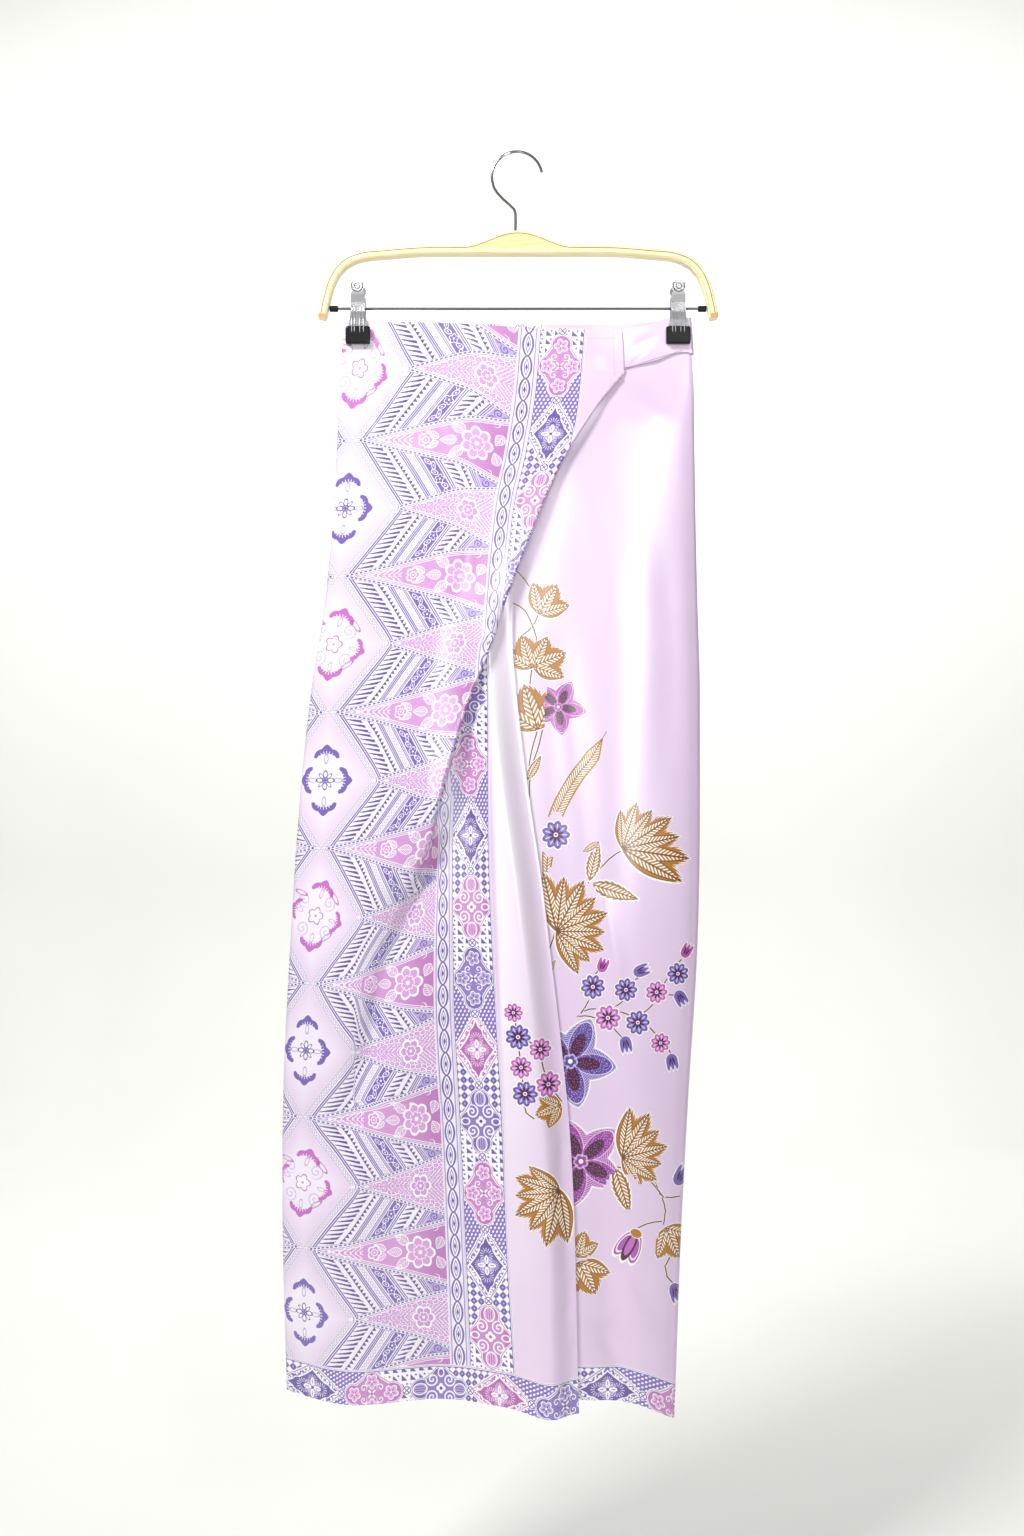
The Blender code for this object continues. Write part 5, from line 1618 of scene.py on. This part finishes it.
def cloth_materials():
    """The print's three materials and the plain one, then one for each kind of motif."""
    prints = [chevron_cloth(), chain_cloth(), medallion_cloth(), Cloth("plain lilac", LILAC).finish()]
    kinds = dict(
        stem=floral_cloth("lilac with stems").finish(),
        daisy_violet=daisy_cloth("violet daisies", srgb(106, 86, 172), srgb(136, 118, 194)),
        daisy_pink=daisy_cloth("pink daisies", srgb(188, 102, 182), srgb(212, 136, 206)),
        bud_violet=bud_cloth("violet buds", srgb(122, 100, 184)),
        bud_pink=bud_cloth("pink buds", srgb(186, 84, 176)),
        tulip=tulip_cloth(),
        leaf1=leaf_cloth("gold leaves", 1, 0.0, 0.16, 0.0, 12.0),
        leaf3=leaf_cloth("gold three-part leaves", 3, 84.0, 0.15, 0.0, 9.0),
        fan7=leaf_cloth("gold maple leaves", 7, 138.0, 0.11, -0.05, 14.0),
        fan8=leaf_cloth("gold long maple leaves", 7, 122.0, 0.1, 0.085, 16.0),
        fan9=leaf_cloth("gold round maple leaves", 9, 166.0, 0.1, -0.03, 14.0),
        feather=feather_cloth(),
        orchid_violet=orchid_cloth("violet orchids", srgb(92, 72, 160), srgb(184, 172, 222)),
        orchid_pink=orchid_cloth("pink orchids", srgb(150, 58, 158), srgb(216, 160, 218)),
        orchid_magenta=orchid_cloth("magenta flowers", srgb(168, 66, 164), srgb(196, 108, 194)),
    )
    return prints + list(kinds.values()), {kind: len(prints) + index for index, kind in enumerate(kinds)}


# The skirt


def wear(piece, nodes):
    """Hangs a cloth on the root body, in place of the nodes that it shows."""
    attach(piece, "root")
    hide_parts(*nodes)


def lay_strip(name, cloth, material, wide, line):
    """A fine strip laid on the front face of one cloth, for a sewn line and for a painted shadow line, along
    places given by width and level.
    """
    co = np.zeros(3 * len(cloth.data.vertices), np.float32)
    cloth.data.vertices.foreach_get("co", co)
    co = co.reshape(-1, 3) / MM
    co = co[co[:, 1] < 0.0]
    line = np.array(line, float)
    ends = way_along(line)
    places = np.linspace(0.0, ends[-1], int(ends[-1]) + 2)
    x = np.interp(places, ends, line[:, 0])
    z = WAIST_Z - np.interp(places, ends, line[:, 1])
    ahead = np.stack([np.gradient(x), np.gradient(z)], axis=1)
    ahead /= np.linalg.norm(ahead, axis=1, keepdims=True)
    verts = []
    for index in range(len(places)):
        near = np.argsort(np.hypot(co[:, 0] - x[index], co[:, 2] - z[index]))[:8]
        front = float(co[near, 1].min()) - 0.08
        for way in (-0.5, 0.5):
            step = way * wide
            verts.append((x[index] - ahead[index, 1] * step, front, z[index] + ahead[index, 0] * step))
    faces = [(2 * index, 2 * index + 2, 2 * index + 3, 2 * index + 1) for index in range(len(places) - 1)]
    hanger_piece(name, verts, faces, material)


def seam_lines(overlap, band):
    """The painted shadow beside the closing seam and the seam's stitches, as fine strips over the band and the
    overlap's corner.
    """
    # one darker lilac for the painted seam shadow and for the band's stitch line, one pale lilac for the thread
    shade = Cloth("painted seam shadow and stitching", srgb(172, 134, 178)).finish(0.6)
    thread = Cloth("seam thread", srgb(220, 196, 224)).finish(0.6)
    # painted shadow: a darker lilac strip on the band beside the overlap's edge
    lay_strip("closing_seam_painted_shadow", band, shade, 0.8, [(100.5, 3.0), (101.6, 20.0), (102.4, 41.0)])
    lay_strip("band_stitching", band, shade, 0.5, [(103.5, 37.4), (120.0, 31.0), (140.0, 24.6), (158.0, 18.6)])
    lay_strip("turned_hem_stitching", overlap, thread, 0.5, [(91.5, 4.0), (92.0, 24.0), (92.4, 46.0)])
    lay_strip("waist_stitching", overlap, thread, 0.4, [(64.0, 9.0), (80.0, 8.4), (91.0, 8.2)])


def build_cloth():
    """The printed cloth in three stretches and the plain band in two, with the seams between them."""
    cloths, slots_of = cloth_materials()

    def printed_cloth(name, grid, u, v, level, hem_along, spray):
        values, hem_rows = print_corners(u, v, level, hem_along)
        slots = zone_slots(u, hem_rows)
        allowed = (np.abs(at_corners(u).mean(axis=2)) > MEDAL_END) & ~hem_rows
        flowers = floral_faces(grid[:, :, 0], level, allowed, spray, slots_of, slots)
        return shell(name, grid, cloths, slots, dict(print=values, **flowers))

    def plain_band(name, grid):
        slots = np.zeros((grid.shape[0] - 1, grid.shape[1] - 1), int)
        return shell(name, grid, [cloths[PLAIN]], slots, {}, BAND_SHELL)

    def seam(nominal):
        return float(read_table(DRAPE, "edge", nominal)) + 0.1

    grid, u, v, level = overlap_shell_grid()
    hem_along = read_line(HEM_PRINT, grid[:, :, 0])
    overlap = printed_cloth("skirt_overlap", grid, u, v, level, hem_along, [STRIP_MOTIFS, STRIP_STEMS, []])
    wear(overlap, ["outer_panel", "overlap_hem"])

    grid, level = under_shell_grid()
    spray = [FRONT_MOTIFS, FRONT_STEMS, FEATHERS]
    beyond_print = np.full(level.shape, 300.0)
    under = printed_cloth("skirt_under", grid, beyond_print, level, level, 573.7 - grid[:, :, 0], spray)
    wear(under, ["under_panel"])

    grid, u, v, level = back_shell_grid()
    high, low = shifted(spray, (10.0, -150.0)), shifted(spray, (-4.0, 520.0))
    sprays = [first + second for first, second in zip(high, low)]
    back = printed_cloth("skirt_back", grid, u, v, level, -grid[:, :, 0] * 1.02 + 50.0, sprays)
    wear(back, ["back_panel"])

    band = plain_band("waist_band_cloth", band_shell_grid(-1, front_base, seam, BAND_TOP, BAND_FOOT, 40))
    wear(band, ["waist_band"])
    seam_lines(overlap, band)
    grid = band_shell_grid(1, back_base, lambda nominal: 0.0, BAND_BACK_TOP, BAND_BACK_FOOT, 60)
    band = plain_band("waist_band_back_cloth", grid)
    wear(band, ["waist_band_back"])


# Hanger finishes


def wood_material(name="pale laminated wood", light=(253, 243, 206), dark=(240, 220, 162)):
    made, tree, shader = node_material(name)
    where = add_node(tree, "TexCoord").outputs["Object"]
    stretched = add_node(tree, "Mapping", dict(Vector=where, Scale=(12.0, 90.0, 160.0))).outputs[0]
    grain = add_node(tree, "TexNoise", dict(Vector=stretched, Scale=4.0, Detail=4.0)).outputs[0]
    colour = ramp_between(tree, grain, (0.3, dark), (0.7, light))
    fill(tree, shader, {"Base Color": colour, "Roughness": 0.4, "Coat Weight": 0.3})
    return made


def steel_material(name="bright plated steel", colour=(220, 220, 224), low=0.1, high=0.2):
    made, tree, shader = node_material(name)
    marks = object_noise(tree, Scale=300.0)
    spread = add_node(tree, "MapRange", {"Value": marks, "To Min": low, "To Max": high}).outputs[0]
    fill(tree, shader, {"Base Color": srgb(*colour), "Roughness": spread, "Metallic": 0.8})
    return made


def rubber_material():
    made, tree, shader = node_material("black rubber")
    marks = object_noise(tree, Scale=500.0)
    bump = add_node(tree, "Bump", dict(Strength=0.1, Distance=0.0002, Height=marks)).outputs[0]
    fill(tree, shader, {"Base Color": srgb(8, 8, 10), "Normal": bump, "Roughness": 0.28,
                        "Specular IOR Level": 0.25})
    return made


def hanger_piece(name, verts, faces, material):
    mesh = bpy.data.meshes.new(name)
    mesh.from_pydata([tuple(np.array(point) * MM) for point in verts], [], faces)
    mesh.update()
    mesh.materials.append(material)
    piece = bpy.data.objects.new(name, mesh)
    bpy.context.scene.collection.objects.link(piece)
    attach(piece, "root")
    return piece


def skinned(solids, closed_ends=True):
    """Points and faces of solids, each skinned over equal rings of points."""
    verts, faces = [], []
    for rings in solids:
        start, count = len(verts), len(rings[0])
        verts += [point for ring in rings for point in ring]
        for row in range(len(rings) - 1):
            low = start + row * count
            high = low + count
            for step in range(count):
                near_by = (step + 1) % count
                faces.append((low + step, low + near_by, high + near_by, high + step))
        if closed_ends:
            last = start + (len(rings) - 1) * count
            faces.append(tuple(start + step for step in reversed(range(count))))
            faces.append(tuple(last + step for step in range(count)))
    return verts, faces


def turns_of(steps):
    """The angles of evenly spaced points on a circle."""
    return [2 * math.pi * step / steps for step in range(steps)]


def rounded_box_ring(x, z, half_width, half_height, corner, y):
    ring = []
    for number, (sx, sz) in enumerate(((1, 1), (-1, 1), (-1, -1), (1, -1))):
        for step in range(5):
            angle = math.radians(90 * number + 22.5 * step)
            ring.append((x + sx * (half_width - corner) + corner * math.cos(angle), y,
                         z + sz * (half_height - corner) + corner * math.sin(angle)))
    return ring


def clip_fittings(steel, dark, rubber):
    """Black boots on the clips' feet, pressed ribs on the plates and dark rings of painted shade round each
    lever's dimple.
    """
    for clip, x in (("left", -151.5), ("right", 153.5)):
        for face, way in (("front", -1.0), ("rear", 1.0)):
            name = "clip_" + clip + "_" + face
            boot = [rounded_box_ring(x, -175.2, 11.5 - shrink, 8.1 - shrink, 2.4, way * depth)
                    for depth, shrink in BOOT_STEPS]
            hanger_piece(name + "_boot", *skinned([boot]), rubber)
            ribs = [[[(x + offset + size * math.cos(turn), way * (y + 0.7 * size * math.sin(turn)), z)
                      for turn in turns_of(8)] for z, y, size in RIB_STEPS] for offset in RIB_OFFSETS]
            hanger_piece(name + "_ribs", *skinned(ribs), steel)
            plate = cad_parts[name + "_plate"]
            near_by = [abs(point.co.y) for point in plate.data.vertices
                       if abs(point.co.z / MM - DIMPLE_Z) < 4.0]
            face_at = max(near_by) / MM
            # painted shade: flat dark steel rings where the pressed groove round the dimple falls in shade
            rings = []
            for outer, inner in ((5.7, 4.9), (2.9, 2.3)):
                loops = [[(x + radius * math.cos(turn), way * (face_at + depth),
                           DIMPLE_Z + radius * math.sin(turn)) for turn in turns_of(28)]
                         for radius, depth in ((outer, 0.0), (outer, 0.35), (inner, 0.35), (inner, 0.0))]
                rings.append(loops + loops[:1])
            hanger_piece(name + "_rings", *skinned(rings, closed_ends=False), dark)


def bar_marks(marks):
    """The dark glue line, the hump's warmer wood, the shaded lower edge and the end grain, on both faces."""
    half = np.array(BAR_LINE, float)
    length = way_along(half)
    places = np.linspace(0.0, length[-1], BAR_STATIONS)
    right = np.stack([read_curve(places, length, column) for column in half.T], axis=1)
    path = np.concatenate([right[:0:-1] * np.array([-1.0, 1.0]), right])
    ahead = np.gradient(path, axis=0)
    ahead /= np.linalg.norm(ahead, axis=1, keepdims=True)
    outward = np.stack([-ahead[:, 1], ahead[:, 0]], axis=1)
    hump = HUMP_HALF_HEIGHT * (1.0 + np.cos(math.pi * np.clip(np.abs(path[:, 0]) / HUMP_REACH, 0.0, 1.0)))
    from_end = np.minimum(np.arange(len(path)), np.arange(len(path))[::-1])
    # each mark: how low and high it runs, its lift off the face, how it rises with the hump, and where it is
    bands = ((4.5 - 3.4, 4.5 - 2.7, 0.06, 1.0, from_end >= 2), (4.5 - 3.4, 4.5 - 3.5, 0.04, 1.0, hump > 0.7),
             (-3.3, -2.4, 0.04, 0.0, from_end >= 2), (-3.4, 3.4, 0.09, 1.0, from_end <= 2))
    for number, (low, high, lift, rise, kept) in enumerate(bands):
        verts, faces = [], []
        for way in (-1.0, 1.0):
            start = len(verts)
            for index in range(len(path)):
                base = low + (hump[index] if number == 0 else 0.0)
                top = high + hump[index] * rise
                for reach in (base, top):
                    x, z = path[index] + outward[index] * reach
                    if hump[index] > 0:
                        x = path[index][0]
                    verts.append((x + BAR_MIDDLE, way * (BAR_HALF_DEPTH + lift), z))
            for index in range(len(path) - 1):
                if kept[index] and kept[index + 1]:
                    corner = start + 2 * index
                    loop = (corner, corner + 2, corner + 3, corner + 1)
                    faces.append(loop if way < 0 else loop[::-1])
        hanger_piece("bar_mark_" + str(number), verts, faces, marks[number])


def finish_hanger():
    """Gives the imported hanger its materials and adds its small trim."""
    steel, rubber = steel_material(), rubber_material()
    wire = steel_material("plated wire", (150, 150, 156))
    # dark steel for the painted shade of the rings round the levers' dimples
    dark = steel_material("shaded steel", (52, 52, 58), 0.3, 0.45)
    worn = dict(wood_bar=wood_material(), hook_wire=wire, clip_rod=wire)
    for name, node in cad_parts.items():
        if name.startswith("rod_ferrule") or name.endswith("_pad"):
            worn[name] = rubber
        elif name.startswith("clip_") and name not in worn:
            worn[name] = steel
        if name in worn:
            node.data.materials.clear()
            node.data.materials.append(worn[name])
    clip_fittings(steel, dark, rubber)
    bar_marks([wood_material("glue line", (146, 106, 66), (104, 70, 40)),
               wood_material("warm wood", (252, 226, 172), (240, 206, 146)),
               wood_material("shaded wood", (232, 208, 146), (214, 184, 122)),
               wood_material("end grain", (214, 168, 108), (196, 148, 90))])


# Studio


def build_backdrop():
    """A wide sheet of pale paper that curves up behind the skirt."""
    profile = [(-7.0, PAPER_Z), (PAPER_Y, PAPER_Z)]
    for step in range(1, 13):
        angle = 0.5 * math.pi * step / 12
        profile.append((PAPER_Y + PAPER_BEND * math.sin(angle), PAPER_Z + PAPER_BEND * (1 - math.cos(angle))))
    profile.append((PAPER_Y + PAPER_BEND, 3.6))
    verts = [(x, y, z) for y, z in profile for x in (-7.0, 7.0)]
    faces = [(corner, corner + 1, corner + 3, corner + 2) for corner in range(0, 2 * len(profile) - 2, 2)]
    mesh = bpy.data.meshes.new("backdrop")
    mesh.from_pydata(verts, [], faces)
    mesh.shade_smooth()
    backdrop = bpy.data.objects.new("backdrop", mesh)
    bpy.context.scene.collection.objects.link(backdrop)
    made, tree, shader = node_material("backdrop paper")
    marks = object_noise(tree, Scale=3.0)
    colour = ramp_between(tree, marks, (0.0, (232, 233, 228)), (1.0, (238, 238, 233)))
    fill(tree, shader, {"Base Color": colour, "Roughness": 0.9})
    mesh.materials.append(made)


def area_light(name, place, look_at, size, power):
    data = bpy.data.lights.new(name, "AREA")
    data.shape = "RECTANGLE"
    data.size, data.size_y = size
    data.energy = power
    made = bpy.data.objects.new(name, data)
    made.location = place
    direction = Vector(look_at) - Vector(place)
    made.rotation_euler = direction.to_track_quat("-Z", "Y").to_euler()
    bpy.context.scene.collection.objects.link(made)


def build_studio():
    """The paper, the soft even light of the photo, and the camera in front of the skirt."""
    scene = bpy.context.scene
    build_backdrop()
    world = bpy.data.worlds.new("studio")
    scene.world = world
    world.use_nodes = True
    sky = world.node_tree.nodes["Background"]
    fill(world.node_tree, sky, dict(Color=(0.97, 0.98, 1.0, 1.0), Strength=0.23))
    area_light("key", (-0.9, -1.1, 0.95), (0.0, 0.0, -0.35), (0.45, 0.45), 40.0)
    area_light("tall softbox", (0.68, -2.6, -0.1), (0.11, 0.0, -0.35), (0.26, 1.3), 15.0)
    area_light("front softbox", (-0.2, -2.6, -0.1), (-0.05, 0.0, -0.35), (0.2, 1.2), 8.0)
    area_light("backdrop light", (0.0, 1.3, 1.2), (0.0, 2.8, -0.9), (3.6, 0.9), 62.0)
    scene.view_settings.view_transform = "Standard"

    camera = bpy.data.cameras.new("camera")
    camera.sensor_width = 36.0
    camera.lens = 39.27
    camera.dof.use_dof = False
    made = bpy.data.objects.new("camera", camera)
    made.location = (-0.00477, -1.6, -0.5872)
    made.rotation_euler = (math.pi / 2, 0.0, 0.0)
    scene.collection.objects.link(made)
    scene.camera = made


build_cloth()
finish_hanger()
build_studio()
